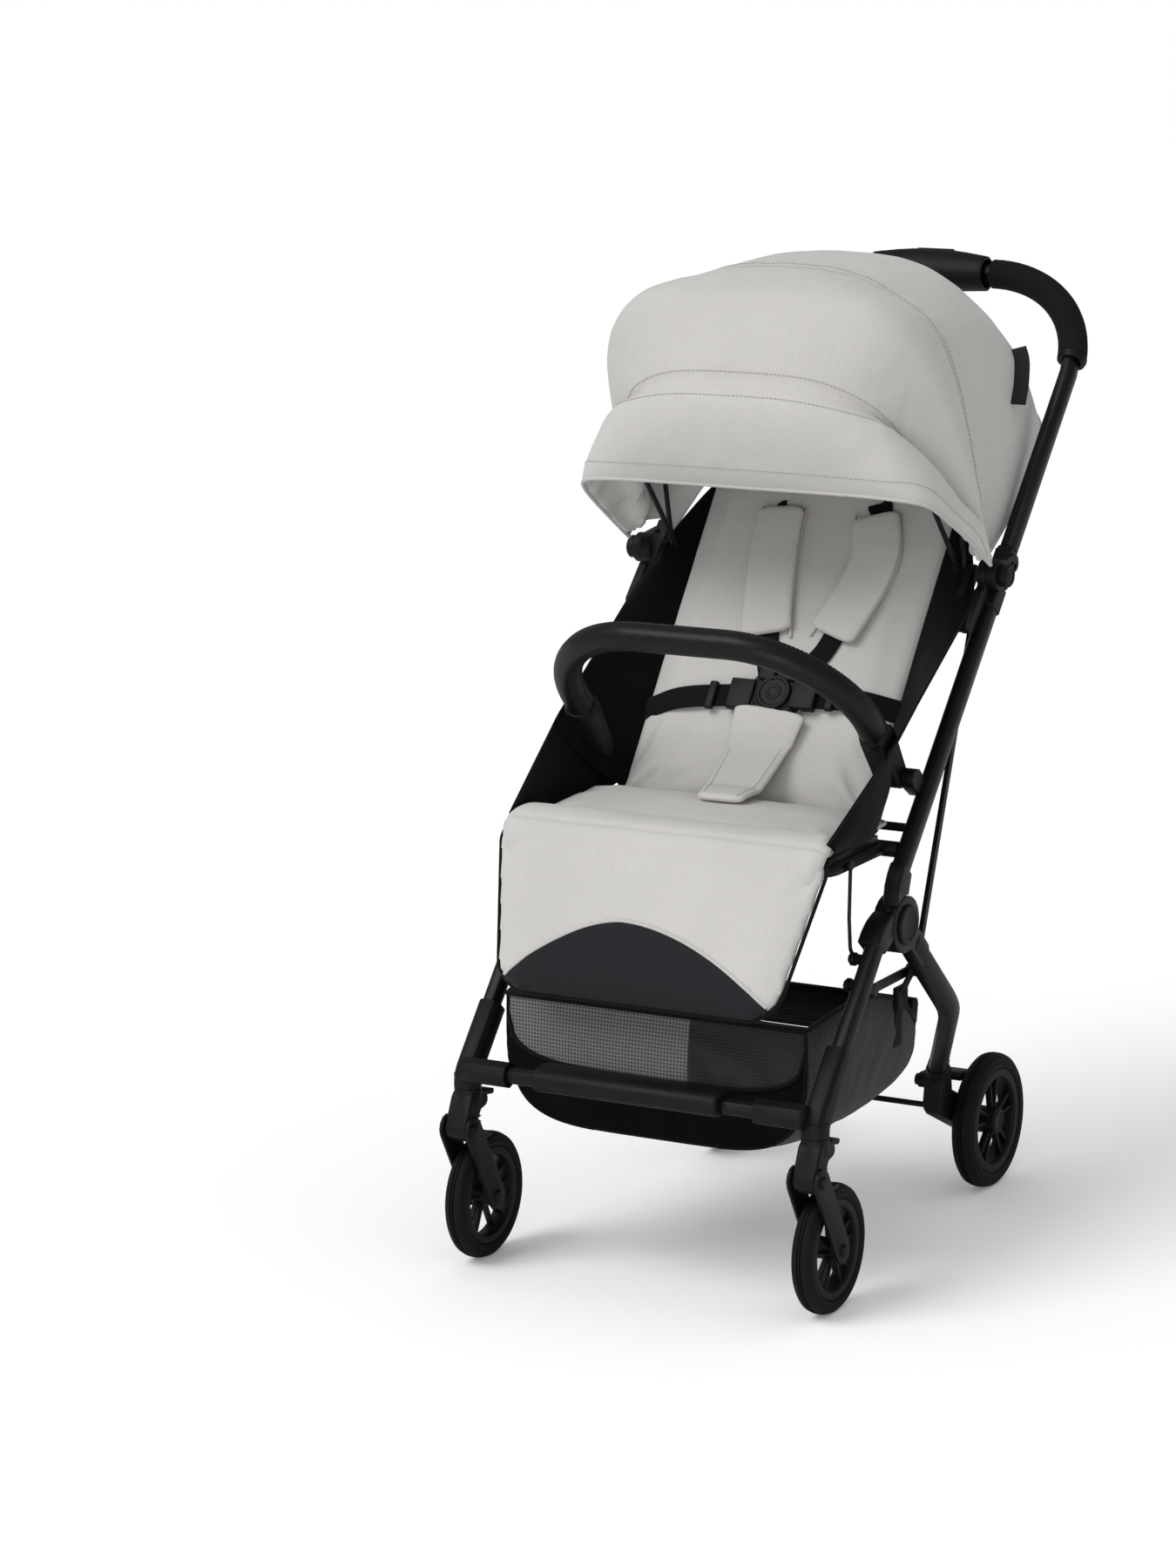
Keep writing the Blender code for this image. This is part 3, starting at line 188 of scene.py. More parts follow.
def turned(name, profile, centre, axis, material, steps=48, body=None, corner=38.0):
    """Spins (along, radius) pairs, in mm, round an axis through centre, a point in metres."""
    bm = bmesh.new()
    verts = [bm.verts.new((a / 1000, 0, r / 1000)) for a, r in profile]
    for a, b in zip(verts, verts[1:]):
        bm.edges.new((a, b))
    bmesh.ops.spin(bm, geom=bm.verts[:] + bm.edges[:], cent=(0, 0, 0), axis=(1, 0, 0), angle=math.tau,
                   steps=steps, use_merge=True)
    bmesh.ops.remove_doubles(bm, verts=bm.verts, dist=1e-6)
    turn = Vector((1, 0, 0)).rotation_difference(Vector(axis).normalized()).to_matrix().to_4x4()
    bmesh.ops.transform(bm, matrix=Matrix.Translation(centre) @ turn, verts=bm.verts)
    return show(name, bm, material, corner, body)


def stitches(name, points, material, body, pitch=4.6, length=3.0, radius=0.42):
    """Short threads laid along a line, each one a five-sided rod."""
    bm = bmesh.new()
    pts = [Vector(p) for p in points]
    carry = 0.0
    for a, b in zip(pts, pts[1:]):
        run = (b - a).length * 1000
        if run < 1e-6:
            continue
        d = (b - a).normalized()
        turn = Vector((0, 0, 1)).rotation_difference(d).to_matrix().to_4x4()
        while carry < run:
            place = Matrix.Translation(a + d * (carry / 1000)) @ turn
            bmesh.ops.create_cone(bm, cap_ends=True, segments=5, radius1=radius / 1000,
                                  radius2=radius / 1000, depth=length / 1000, matrix=place)
            carry += pitch
        carry -= run
    return show(name, bm, material, 60.0, body)


# %% [markdown]
# ## Finishes
# Every finish is built from noise in Object coordinates, so the grain has its real size in metres. Cloth
# gets two scales: a fine melange of light and dark yarn, and a broad, faint change of tone where it has
# been handled.

# %% Finish helpers
def finish_base(name):
    material = bpy.data.materials.new(name)
    material.use_nodes = True
    tree = material.node_tree
    shader = tree.nodes["Principled BSDF"]
    place = tree.nodes.new("ShaderNodeTexCoord").outputs["Object"]
    return material, tree, shader, place


def give(node, values):
    """Sets a node's own sockets to plain values."""
    for socket, value in values.items():
        node.inputs[socket].default_value = value
    return node


def grain(tree, place, scale, detail=2.0, kind="ShaderNodeTexNoise"):
    noisy = kind == "ShaderNodeTexNoise"
    node = give(tree.nodes.new(kind), {"Scale": scale, "Detail": detail} if noisy else {"Scale": scale})
    tree.links.new(place, node.inputs["Vector"])
    return node.outputs["Fac" if noisy else "Distance"]


def ranged(tree, value, low, high):
    """Stretches a value from 0 to 1 over low to high."""
    node = give(tree.nodes.new("ShaderNodeMapRange"), {"To Min": low, "To Max": high})
    tree.links.new(value, node.inputs["Value"])
    return node


def between(tree, value, low, high, dark, light):
    """Maps a grey value onto two colours, with the ramp's ends at low and high."""
    ramp = tree.nodes.new("ShaderNodeValToRGB")
    ramp.color_ramp.elements[0].position = low
    ramp.color_ramp.elements[1].position = high
    ramp.color_ramp.elements[0].color = (*dark, 1)
    ramp.color_ramp.elements[1].color = (*light, 1)
    tree.links.new(value, ramp.inputs["Fac"])
    return ramp.outputs["Color"]


def blend_colour(tree, first, second, amount, how="MULTIPLY"):
    mix = tree.nodes.new("ShaderNodeMix")
    mix.data_type = "RGBA"
    mix.blend_type = how
    if isinstance(amount, float):
        mix.inputs["Factor"].default_value = amount
    else:
        tree.links.new(amount, mix.inputs["Factor"])
    for value, socket in ((first, mix.inputs[6]), (second, mix.inputs[7])):
        if isinstance(value, tuple):
            socket.default_value = (*value, 1)
        else:
            tree.links.new(value, socket)
    return mix.outputs[2]


def relief(tree, shader, layers):
    """Chains bump nodes: layers are (height, strength, distance in metres)."""
    last = None
    for height, strength, distance in layers:
        bump = give(tree.nodes.new("ShaderNodeBump"), {"Strength": strength, "Distance": distance})
        tree.links.new(height, bump.inputs["Height"])
        if last:
            tree.links.new(last, bump.inputs["Normal"])
        last = bump.outputs["Normal"]
    tree.links.new(last, shader.inputs["Normal"])


def shade(rgb, k):
    return tuple(min(1.0, c * k) for c in rgb)


# %% [markdown]
# Four kinds of finish cover the object: woven cloth with its weave and sheen, a coated or moulded skin,
# plain metal, and open mesh cloth. The mesh is drawn as two crossed waves, because its threads are too many
# to model.

# %% The four kinds of finish
def woven(name, rgb, yarn=900.0, tone=0.10, sheen=0.25, rough=0.92):
    material, tree, shader, place = finish_base(name)
    fine = grain(tree, place, yarn, 3.0)
    broad = grain(tree, place, 7.0, 4.0)
    colour = between(tree, fine, 0.30, 0.70, shade(rgb, 1 - tone), shade(rgb, 1 + tone * 0.6))
    wear = between(tree, broad, 0.30, 0.72, (0.93, 0.93, 0.93), (1.0, 1.0, 1.0))
    tree.links.new(blend_colour(tree, colour, wear, 1.0), shader.inputs["Base Color"])
    give(shader, {"Roughness": rough, "Sheen Weight": sheen, "Sheen Roughness": 0.5,
                  "Specular IOR Level": 0.22 if rgb[0] > 0.1 else 0.07})
    warp = give(tree.nodes.new("ShaderNodeTexWave"), {"Scale": 260.0, "Distortion": 1.5})
    warp.bands_direction = "DIAGONAL"
    tree.links.new(place, warp.inputs["Vector"])
    relief(tree, shader, ((grain(tree, place, 38.0, 3.0), 0.10, 0.003), (warp.outputs["Fac"], 0.10, 0.0006),
                          (fine, 0.28, 0.0006)))
    return material


def coated(name, rgb, rough, grit, strength, coat=0.0, kind="ShaderNodeTexNoise"):
    """Powder coat, plastic, foam and leather differ in grit size, its depth and the gloss over it."""
    material, tree, shader, place = finish_base(name)
    small = grain(tree, place, grit, 2.0, kind)
    broad = grain(tree, place, 22.0, 3.0)
    colour = between(tree, broad, 0.35, 0.70, shade(rgb, 0.86), shade(rgb, 1.12))
    tree.links.new(colour, shader.inputs["Base Color"])
    gloss = ranged(tree, broad, rough - 0.06, rough + 0.08)
    tree.links.new(gloss.outputs["Result"], shader.inputs["Roughness"])
    give(shader, {"Specular IOR Level": 0.22, "Coat Weight": coat, "Coat Roughness": 0.25})
    relief(tree, shader, ((small, strength, 0.0004),))
    return material


def metal(name, rgb, rough):
    material, tree, shader, place = finish_base(name)
    give(shader, {"Metallic": 1.0, "Roughness": rough})
    tree.links.new(between(tree, grain(tree, place, 60.0), 0.3, 0.7, shade(rgb, 0.9), rgb),
                   shader.inputs["Base Color"])
    relief(tree, shader, ((grain(tree, place, 700.0), 0.05, 0.0002),))
    return material


def calc(tree, operation, first, second=None):
    node = tree.nodes.new("ShaderNodeMath")
    node.operation = operation
    tree.links.new(first, node.inputs[0])
    if isinstance(second, float):
        node.inputs[1].default_value = second
    elif second:
        tree.links.new(second, node.inputs[1])
    return node.outputs[0]


def netting(name, thread, hole, pitch, turned_about, open_share=0.1):
    """Mesh cloth: two crossed sets of thread with dark gaps between, sized in metres."""
    material, tree, shader, place = finish_base(name)
    turn = tree.nodes.new("ShaderNodeMapping")
    turn.inputs["Rotation"].default_value = tuple(math.radians(45) * (axis == turned_about)
            for axis in "XYZ")
    tree.links.new(place, turn.inputs["Vector"])
    split = tree.nodes.new("ShaderNodeSeparateXYZ")
    tree.links.new(turn.outputs["Vector"], split.inputs[0])
    waves = [calc(tree, "SINE", calc(tree, "MULTIPLY", split.outputs[axis], math.tau / pitch))
             for axis in "XYZ" if axis != turned_about]
    both = calc(tree, "MULTIPLY", *waves)
    tree.links.new(between(tree, both, open_share, open_share + 0.35, thread, hole),
                   shader.inputs["Base Color"])
    give(shader, {"Roughness": 0.8, "Sheen Weight": 0.15})
    relief(tree, shader, ((both, 0.5, 0.0008),))
    return material


# %% [markdown]
# The colours are set so that plain light gives the photograph's tones. No black is quite zero, as on real
# plastic.

# %% Materials
GREY = (0.585, 0.57, 0.55)
CHARCOAL = (0.021, 0.0195, 0.023)
frame_coat = coated("frame_powder_coat", (0.0048, 0.005, 0.0064), 0.42, 1500.0, 0.10, 0.06)
moulded = coated("moulded_black_plastic", (0.005, 0.005, 0.006), 0.5, 1100.0, 0.22)
tyre_foam = coated("tyre_foam", (0.0032, 0.0032, 0.004), 0.66, 650.0, 0.30)
grip_foam = coated("grip_foam", (0.005, 0.005, 0.006), 0.86, 850.0, 0.65)
bumper_leather = coated("bumper_leather", (0.005, 0.0046, 0.005), 0.46, 420.0, 0.55, 0.1,
                        "ShaderNodeTexVoronoi")
grey_cloth = woven("grey_melange_cloth", GREY)
hood_cloth = woven("hood_melange_cloth", GREY, 1000.0, 0.08, 0.2)
lining_cloth = woven("hood_lining_cloth", shade(GREY, 1.12), 1200.0, 0.05)
piping_cloth = woven("grey_piping", shade(GREY, 0.94), 1400.0, 0.06)
wing_cloth = woven("black_side_cloth", (0.0028, 0.0024, 0.0028), 1100.0, 0.30, 0.06)
webbing = woven("black_webbing", (0.006, 0.006, 0.007), 1700.0, 0.45, 0.06, 0.7)
thread = woven("grey_thread", shade(GREY, 0.62), 2500.0, 0.1)
dark_thread = woven("dark_thread", (0.035, 0.035, 0.037), 2500.0, 0.2)
charcoal_cloth = woven("charcoal_cloth", CHARCOAL, 1000.0, 0.2, 0.08)
front_net = netting("grey_mesh_cloth", (0.16, 0.165, 0.165), (0.03, 0.03, 0.032), 0.0056, "Y")
side_net = netting("black_mesh_cloth", (0.011, 0.011, 0.012), (0.0025, 0.0025, 0.0025), 0.0052, "X")
bright = metal("bright_steel", (0.62, 0.62, 0.64), 0.24)
print("finishes", len(bpy.data.materials))

# %% [markdown]
# ## Hard pieces keep their CAD shape
# A machined or moulded edge is never a knife edge: it catches a thin line of light. Each CAD node is
# copied, its loose triangles are welded, and its sharp edges get a half-millimetre bevel. The copy then
# stands for the node.

# %% Soften and finish the CAD nodes
def dress(node, material, edge=0.5, fold=32.0):
    bm = bmesh.new()
    bm.from_mesh(frame["nodes"][node].data)
    bmesh.ops.remove_doubles(bm, verts=bm.verts, dist=2e-6)
    bmesh.ops.dissolve_limit(bm, angle_limit=math.radians(0.6), verts=bm.verts, edges=bm.edges,
            delimit={"NORMAL"})
    sharp = [e for e in bm.edges if len(e.link_faces) == 2 and e.calc_face_angle(0.0) > math.radians(fold)]
    if edge:
        bmesh.ops.bevel(bm, geom=sharp, offset=edge / 1000, offset_type="OFFSET", segments=2, profile=0.5,
                        affect="EDGES", material=-1, clamp_overlap=True)
    bmesh.ops.triangulate(bm, faces=[f for f in bm.faces if len(f.verts) > 4])
    piece = show(node + "_finished", bm, material, fold)
    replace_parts(piece, node)
    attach(piece, body_of_node[node])
    return piece


frame_slot = {s["node"]: s["material_slot"] for s in frame["record"]["subparts"]}
replaced_later = ("canopy", "seat_pad", "backrest_pad", "leg_rest_pad", "harness", "basket", "bumper_bar",
                  "handle_tube",
                  "handle_grip", "buckle", "buckle_button")
for node in sorted(frame["nodes"]):
    if node in replaced_later or "tyre" in node or "rim" in node:
        continue
    kind = frame_slot[node]
    finish = {"frame_coat": frame_coat, "moulded_black": moulded, "spring_steel": bright}.get(kind, moulded)
    dress(node, finish, 0.0 if "spring" in node else 0.5)

# %% [markdown]
# ## The hood
# The cover is stretched over two bows that turn about the handle joint, so it is drawn as cross lines at
# angles about that joint: each line is a row of (x, radius) points from the middle of the roof to the side.
# The real cover is padded cloth sewn in bands. Where two bands meet the seam pulls the cloth in and puckers
# it a little.

# %% Hood surface
COVER = (
    (149.0, ((0, 209), (60, 210), (107, 209), (165, 208), (205, 196), (216, 165), (221, 110), (225, 30))),
    (130.0, ((0, 289), (67, 288), (100, 279), (128, 264), (155, 240), (180, 170), (202, 80), (222, 30))),
    (116.0, ((0, 345), (75, 345), (115, 338), (148, 322), (172, 294), (193, 256), (208, 170), (219, 32))),
    (102.0, ((0, 343), (75, 340), (109, 318), (145, 295), (173, 267), (190, 200), (200, 120), (212, 34))),
    (76.0, ((0, 346), (75, 342), (116, 324), (148, 294), (175, 258), (189, 190), (195, 110), (199, 34))),
    (52.0, ((0, 345), (80, 338), (125, 316), (157, 285), (181, 250), (190, 180), (195, 105), (198, 34))),
    (31.0, ((0, 318), (80, 312), (125, 300), (155, 282), (178, 248), (188, 175), (194, 100), (197, 36))),
)
BRIM_EDGE, BRIM_SEAM, MIDDLE_SEAM, REAR_EDGE = 149.0, 130.0, 102.0, 31.0


def hood_line(deg, points):
    half = spline([(0.0, *along(JOINT, deg, r)) if not x else (x, *along(JOINT, deg, r)) for x,
                   r in points], 40)
    line = [Vector((-p.x, p.y, p.z)) for p in half[:0:-1]] + half
    for _ in range(20):
        line = [line[0]] + [b.lerp((a + c) / 2, 0.5) for a, b,
                            c in zip(line, line[1:], line[2:])] + [line[-1]]
    return line


hood_lines = [hood_line(deg, points) for deg, points in COVER]


def hood_point(deg, s):
    """The cover's surface in mm: deg about the joint, s from -1 on the left to 1 on the right."""
    k = next((i for i in range(len(COVER) - 1) if deg >= COVER[i + 1][0]), len(COVER) - 2)
    t = (COVER[k][0] - deg) / (COVER[k][0] - COVER[k + 1][0])
    rows = [hood_lines[min(max(k + j, 0), len(COVER) - 1)] for j in (-1, 0, 1, 2)]
    a, b, c, d = [on_line(row, (s + 1) / 2) for row in rows]
    bent = 0.5 * (2 * b + (c - a) * t + (2 * a - 5 * b + 4 * c - d) * t * t + (3 * b - a - 3 * c + d)
                  * t ** 3)
    return bent.lerp(b.lerp(c, t), 0.35)


def bump_at(value, centre, width):
    return math.exp(-((value - centre) / width) ** 2)


def hood_relief(deg, s):
    """How far the cloth stands out or is pulled in, in millimetres."""
    p = hood_point(deg, s)
    rise = 3.0 + 2.2 * noise.noise(p / 85.0) + 0.8 * noise.noise(p / 24.0)
    for seam, pull in ((BRIM_SEAM, 3.4), (MIDDLE_SEAM, 2.2)):
        pucker = noise.noise(Vector((s * 26.0, seam, 0.0)))
        rise -= pull * bump_at(deg, seam, 1.3)
        rise += 2.4 * pucker * bump_at(deg, seam + (4.0 if pucker > 0 else -4.0), 4.6)
    if deg > BRIM_SEAM:
        rise += 19.0 * math.sin(math.pi * ((deg - BRIM_SEAM)
                / (BRIM_EDGE - BRIM_SEAM)) ** 0.62) ** 0.8 * (1 + 0.15 * noise.noise(p / 60.0))
    rise += 13.0 * bump_at(deg, 111.0, 12.0) * bump_at(abs(s), 0.50, 0.33)
    return rise * min(1.0, (1.0 - abs(s)) * 9.0 + 0.1)


def hood_at(deg, s, lift=0.0):
    here = hood_point(deg, s)
    across = hood_point(deg, min(s + 0.01, 1.0)) - hood_point(deg, max(s - 0.01, -1.0))
    back = hood_point(max(deg - 0.4, REAR_EDGE), s) - hood_point(min(deg + 0.4, BRIM_EDGE), s)
    out = across.cross(back).normalized()
    if out.dot(here - Vector((0, *JOINT))) < 0:
        out = -out
    return at(*(here + out * (hood_relief(deg, s) + lift)))


def hood_panel(name, first, last, nv, body, lift=0.0):
    bm = sheet_mesh(lambda u, v: hood_at(first + (last - first) * v, 2 * u - 1, lift), 150, nv)
    return show(name, bm, hood_cloth, 60.0, body)


def area_of(piece):
    return sum(face.area for face in piece.data.polygons)


hood_front = hood_panel("hood_front", BRIM_EDGE, MIDDLE_SEAM, 60, "canopy_front")
hood_main = hood_panel("hood_main", MIDDLE_SEAM, REAR_EDGE, 84, "side_frame")
hood_areas = [area_of(piece) for piece in (hood_front, hood_main)]
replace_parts(hood_main, "canopy")
for panel in (hood_front, hood_main):
    thicken(panel, 0.0018)
print("hood cloth areas", [round(a, 4) for a in hood_areas])

# %% [markdown]
# Piping hides each seam and the rim: a cord wrapped in cloth, laid along the same surface. The stitch rows
# beside it hold the band's edge down. Inside, a thin lining hangs in gathers between the bows.

# %% Hood trim
def hood_cord(name, deg, radius, material, body, lift, reach=1.0, count=120):
    line = [hood_at(deg, reach * (2 * i / count - 1), lift) for i in range(count + 1)]
    return rope(name, line, radius, material, body, 8)


def hood_stitches(name, deg, body, lift=0.4, reach=0.97):
    line = [hood_at(deg, reach * (2 * i / 160 - 1), lift) for i in range(161)]
    return stitches(name, line, thread, body, 5.0, 3.2, 0.38)


hood_trim = [hood_cord("hood_brim_piping", 148.8, 0.0024, piping_cloth, "canopy_front", -0.5),
             hood_cord("hood_seam_piping", BRIM_SEAM, 0.0021, piping_cloth, "canopy_front", 0.2),
             hood_cord("hood_middle_piping", MIDDLE_SEAM, 0.0019, piping_cloth, "side_frame", 0.0),
             hood_cord("hood_rear_piping", 31.3, 0.0022, piping_cloth, "side_frame", -0.3),
             hood_stitches("hood_brim_stitches", 144.4, "canopy_front"),
             hood_stitches("hood_seam_stitches_front", 131.9, "canopy_front"),
             hood_stitches("hood_seam_stitches_rear", 128.3, "canopy_front"),
             hood_stitches("hood_middle_stitches", 100.2, "side_frame"),]


def lining_at(u, v):
    s = (2 * u - 1) * 0.97
    gather = math.sin(s * 70.0 + 1.6 * noise.noise(Vector((s * 6, v * 2,
            0)))) * math.sin(math.pi * v) ** 0.4
    return hood_at(148.3 - 44.0 * v, s, -3.0 - 14.0 * math.sin(math.pi * v) ** 0.4 + 3.6 * gather)


hood_lining = show("hood_lining", sheet_mesh(lining_at, 260, 20), lining_cloth, 60.0,
                   "canopy_front")
tag_bm = sheet_mesh(lambda u, v: hood_at(56.0 + 3.4 * v - 1.5 * u, 0.475 + 0.195 * v, 17.0 * u - 1.0), 8,
                    24)
hood_tag = thicken(show("hood_tag", tag_bm, charcoal_cloth, 60.0, "side_frame"), 0.0012,
                   False)
for panel, flat, area, holder, trims in (
        (hood_front, (0.95, 0.36), hood_areas[0], "canopy_bow_front_finished",
         hood_trim[:2] + hood_trim[4:7]),
        (hood_main, (0.93, 0.46), hood_areas[1], "canopy_bow_mid_finished",
         hood_trim[2:4] + hood_trim[7:] + [hood_tag])):
    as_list(trims)
print("hood pieces", 2 + len(hood_trim) + 2)

# %% [markdown]
# ## Cushions
# A cushion starts as a flat grid drawn in its own plane: x across, u along, w out of the plane. The grid is
# mapped onto a rounded outline, top and bottom meet at the rim, and the rim is a half round. A short cloth
# simulation with air pressure inside then rounds the filling as real wadding does. The sewn channels are
# pressed in afterwards, with small puckers beside each one, because the seam is made through the filled
# pad.

# %% Cushion helpers
def eased(a, share=0.55):
    p = 2 * a - 1
    return p * (1 - share) + share * math.sin(math.pi / 2 * p)


def in_outline(p, q, length, half_at, near, far):
    """Maps p and q, from -1 to 1, into a rounded outline: gives x, u and the distance to the rim."""
    v = (q + 1) / 2
    corner = near if q < 0 else far
    half = half_at(v)
    x = abs(p) * half
    gap = (1 - abs(q)) * length / 2
    dx, du = x - (half - corner), corner - gap
    if dx > 0 and du > 0:
        m = max(dx, du) / corner
        k = m * corner / math.hypot(dx, du)
        x, gap = half - corner + dx * k, corner - du * k
        inset = corner * (1 - m)
    else:
        inset = min(half - x, gap)
    return math.copysign(x, p), gap if q < 0 else length - gap, inset


def cushion_shell(length, half_at, near, far, thick, crown, lift, nx, nu):
    bm = bmesh.new()
    for side in (1, -1):
        face = bmesh.new()
        bmesh.ops.create_grid(face, x_segments=nx, y_segments=nu, size=1.0)
        for v in face.verts:
            p, q = eased((v.co.x + 1) / 2), eased((v.co.y + 1) / 2, 0.3)
            x, u, inset = in_outline(p, q, length, half_at, near, far)
            round_off = min(1.0, inset / (thick * 0.62))
            g = math.sqrt(max(0.0, 1 - (1 - round_off) ** 2))
            dome = crown * (1 - p * p) * (1 - q * q) if side > 0 else 0.0
            v.co = (x / 1000, u / 1000, (lift - thick / 2 + side * thick / 2 * g + dome) / 1000)
        patch = bpy.data.meshes.new("half")
        face.to_mesh(patch)
        face.free()
        bm.from_mesh(patch)
        bpy.data.meshes.remove(patch)
    bmesh.ops.remove_doubles(bm, verts=bm.verts, dist=2e-5)
    bmesh.ops.recalc_face_normals(bm, faces=bm.faces)
    return bm


# %% [markdown]
# Wadding pushes its cover out until the seams hold it. The simulation does the same with air, and keeps the
# underside still, so the cushion grows only on the side that is seen.

# %% Filling by simulation
def puff(bm, floor_w, cap, pressure=4.0, cell=0.0055):
    """Fills the shell with a little air, with its underside held, and keeps each move below cap."""
    mesh = bpy.data.meshes.new("puff")
    bm.to_mesh(mesh)
    bm.free()
    shell = bpy.data.objects.new("puff", mesh)
    bpy.context.scene.collection.objects.link(shell)
    remesh = shell.modifiers.new("remesh", "REMESH")
    remesh.mode = "VOXEL"
    remesh.voxel_size = cell
    ready = bpy.data.meshes.new_from_object(shell.evaluated_get(bpy.context.evaluated_depsgraph_get()))
    shell.modifiers.clear()
    shell.data = ready
    start = [v.co.copy() for v in ready.vertices]
    held = shell.vertex_groups.new(name="held")
    held.add([v.index for v in ready.vertices if v.co.z < floor_w], 1.0, "REPLACE")
    cloth = shell.modifiers.new("cloth", "CLOTH")
    cloth.settings.quality = 4
    cloth.settings.mass = 0.3
    cloth.settings.tension_stiffness = 12.0
    cloth.settings.compression_stiffness = 12.0
    cloth.settings.bending_stiffness = 1.2
    cloth.settings.vertex_group_mass = "held"
    cloth.settings.use_pressure = True
    cloth.settings.uniform_pressure_force = pressure
    cloth.settings.effector_weights.gravity = 0.0
    cloth.point_cache.frame_start = 1
    cloth.point_cache.frame_end = 20
    for number in range(1, 21):
        bpy.context.scene.frame_set(number)
    blown = shell.evaluated_get(bpy.context.evaluated_depsgraph_get()).to_mesh()
    ends = [v.co.copy() for v in blown.vertices]
    bpy.context.scene.frame_set(1)
    out = bmesh.new()
    out.from_mesh(ready)
    out.verts.ensure_lookup_table()
    moved = 0.0
    for v, a, b in zip(out.verts, start, ends):
        step = b - a
        if step.length > cap:
            step = step.normalized() * cap
        moved = max(moved, step.length)
        v.co = a + step
    bmesh.ops.smooth_vert(out, verts=out.verts, factor=0.5, use_axis_x=True, use_axis_y=True,
                          use_axis_z=True)
    bpy.data.objects.remove(shell)
    print("puffed", len(out.verts), "points, largest move", round(moved * 1000, 1), "mm")
    return out


# %% [markdown]
# One function makes a whole cushion. `laid` then finds points on the finished surface, so that thread,
# straps and patches lie on the filled form and not on the plan.

# %% One cushion, and points on it
def cushion(name, plan, half_at, near, far, thick, crown, lift, channels, node, puffed):
    start, deg, length, side = plan
    bm = cushion_shell(length, half_at, near, far, thick, crown, lift, 74, max(60, int(length / 4)))
    bm = puff(bm, (lift - thick * 0.55) / 1000, puffed)
    for v in bm.verts:
        x, u, w = v.co * 1000
        upper = min(1.0, max(0.0, (w - lift + thick * 0.7) / (thick * 0.5)))
        edge = min(1.0, max(0.0, (half_at(u / length) - abs(x)) / 16.0))
        for c in channels:
            gap = u - c * length
            pucker = noise.noise(Vector((x / 9.0, c * 50.0, 0.0)))
            w -= CHANNEL_DEPTH * upper * edge * math.exp(-(gap / 4.2) ** 2)
            w += 1.5 * pucker * upper * edge * math.exp(-((abs(gap) - 9.0) / 7.0) ** 2)
        w += upper * (0.9 * noise.noise(Vector((x, u, 0.0)) / 38.0) + 0.35 * noise.noise(Vector((x, u,
                5.0)) / 12.0))
        v.co = at(x, *along(start, deg, u, w * side))
    piece = show(name, bm, grey_cloth, 60.0, node.removesuffix("_pad"))
    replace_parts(piece, node)
    return piece


def surface_of(piece):
    return BVHTree.FromPolygons([v.co for v in piece.data.vertices],
            [p.vertices for p in piece.data.polygons])


def laid(tree, plan, x, u, lift=0.5, reach=60.0):
    """The surface's point above (x, u) in a slanted plane, raised by lift, or else the plane's own."""
    start, deg, _, side = plan
    above, foot = at(x, *along(start, deg, u, reach * side)), at(x, *along(start, deg, u))
    down = (foot - above).normalized()
    hit = tree.ray_cast(above, down, 0.12)[0]
    if hit is None:
        hit = foot
    return hit - down * (lift / 1000)


def rim_line(length, half_at, near, far, count=44):
    """The outline of a cushion as (x, u) points, once round."""
    out = []
    for a, b in (((-1, -1), (1, -1)), ((1, -1), (1, 1)), ((1, 1), (-1, 1)), ((-1, 1), (-1, -1))):
        for i in range(count):
            t = i / count
            x, u, _ = in_outline(a[0] + (b[0] - a[0]) * t, a[1] + (b[1] - a[1]) * t, length, half_at, near,
                                 far)
            out.append((x, u))
    return out


# %% [markdown]
# The seat, the backrest and the leg rest share that recipe. Piping runs round the rims, thread lies in the
# channels.

# %% Seat, backrest and leg rest
SEAT = ((50.0, 490.0), 2.2, 150.0, 1)
REST = (along((30.0, 470.0), 246.6, -13.5), 246.6, 181.0, -1)
BACK = (along(BACK_FOOT, BACK_DEG, -22.0), BACK_DEG, 512.0, 1)
BACK_PLANE = (BACK_FOOT, BACK_DEG, 512.0, 1)
CHANNEL = 0.82
CHANNEL_DEPTH = 2.0


def seat_half(v):
    return 183.0


def rest_half(v):
    return 199.0 - 34.0 * v


def back_half(v):
    return 158.0


seat_cushion = cushion("seat_cushion", SEAT, seat_half, 26, 12, 18.0, 7.0, 0.0, (), "seat_pad", 0.005)
back_cushion = cushion("back_cushion", BACK, back_half, 14, 60, 27.0, 5.0, 0.0, (CHANNEL,), "backrest_pad",
                       0.006)
rest_cushion = cushion("rest_cushion", REST, rest_half, 22, 34, 15.0, 4.0, 12.0, (), "leg_rest_pad", 0.005)
seat_tree, back_tree, rest_tree = map(surface_of, (seat_cushion, back_cushion, rest_cushion))
for name, plan, half_at, near, far, w, wide, cord, body in (
        ("seat_piping", SEAT, seat_half, 26, 12, -8.0, 1.006, piping_cloth, "seat"),
        ("back_piping", BACK, back_half, 14, 60, -20.0, 0.975, piping_cloth, "backrest"),
        ("rest_piping", REST, rest_half, 22, 34, 2.5, 1.006, webbing, "leg_rest")):
    start, deg, length, side = plan
    line = [at(x * wide, *along(start, deg, u, w * side)) for x, u in rim_line(length, half_at, near, far)]
    rope(name, line, 0.0021, cord, body, 8, True)
line = [laid(back_tree, BACK, 148.0 * (2 * k / 60 - 1), CHANNEL * BACK[2], 0.3) for k in range(61)]
stitches("back_channel_thread_1", line, thread, "backrest", 5.2, 3.4, 0.4)

# %% [markdown]
# The leg rest's lower part carries a darker, tougher cloth where shoes rub: a half moon sewn on with its
# own piping, and a dark binding over the lower edge.

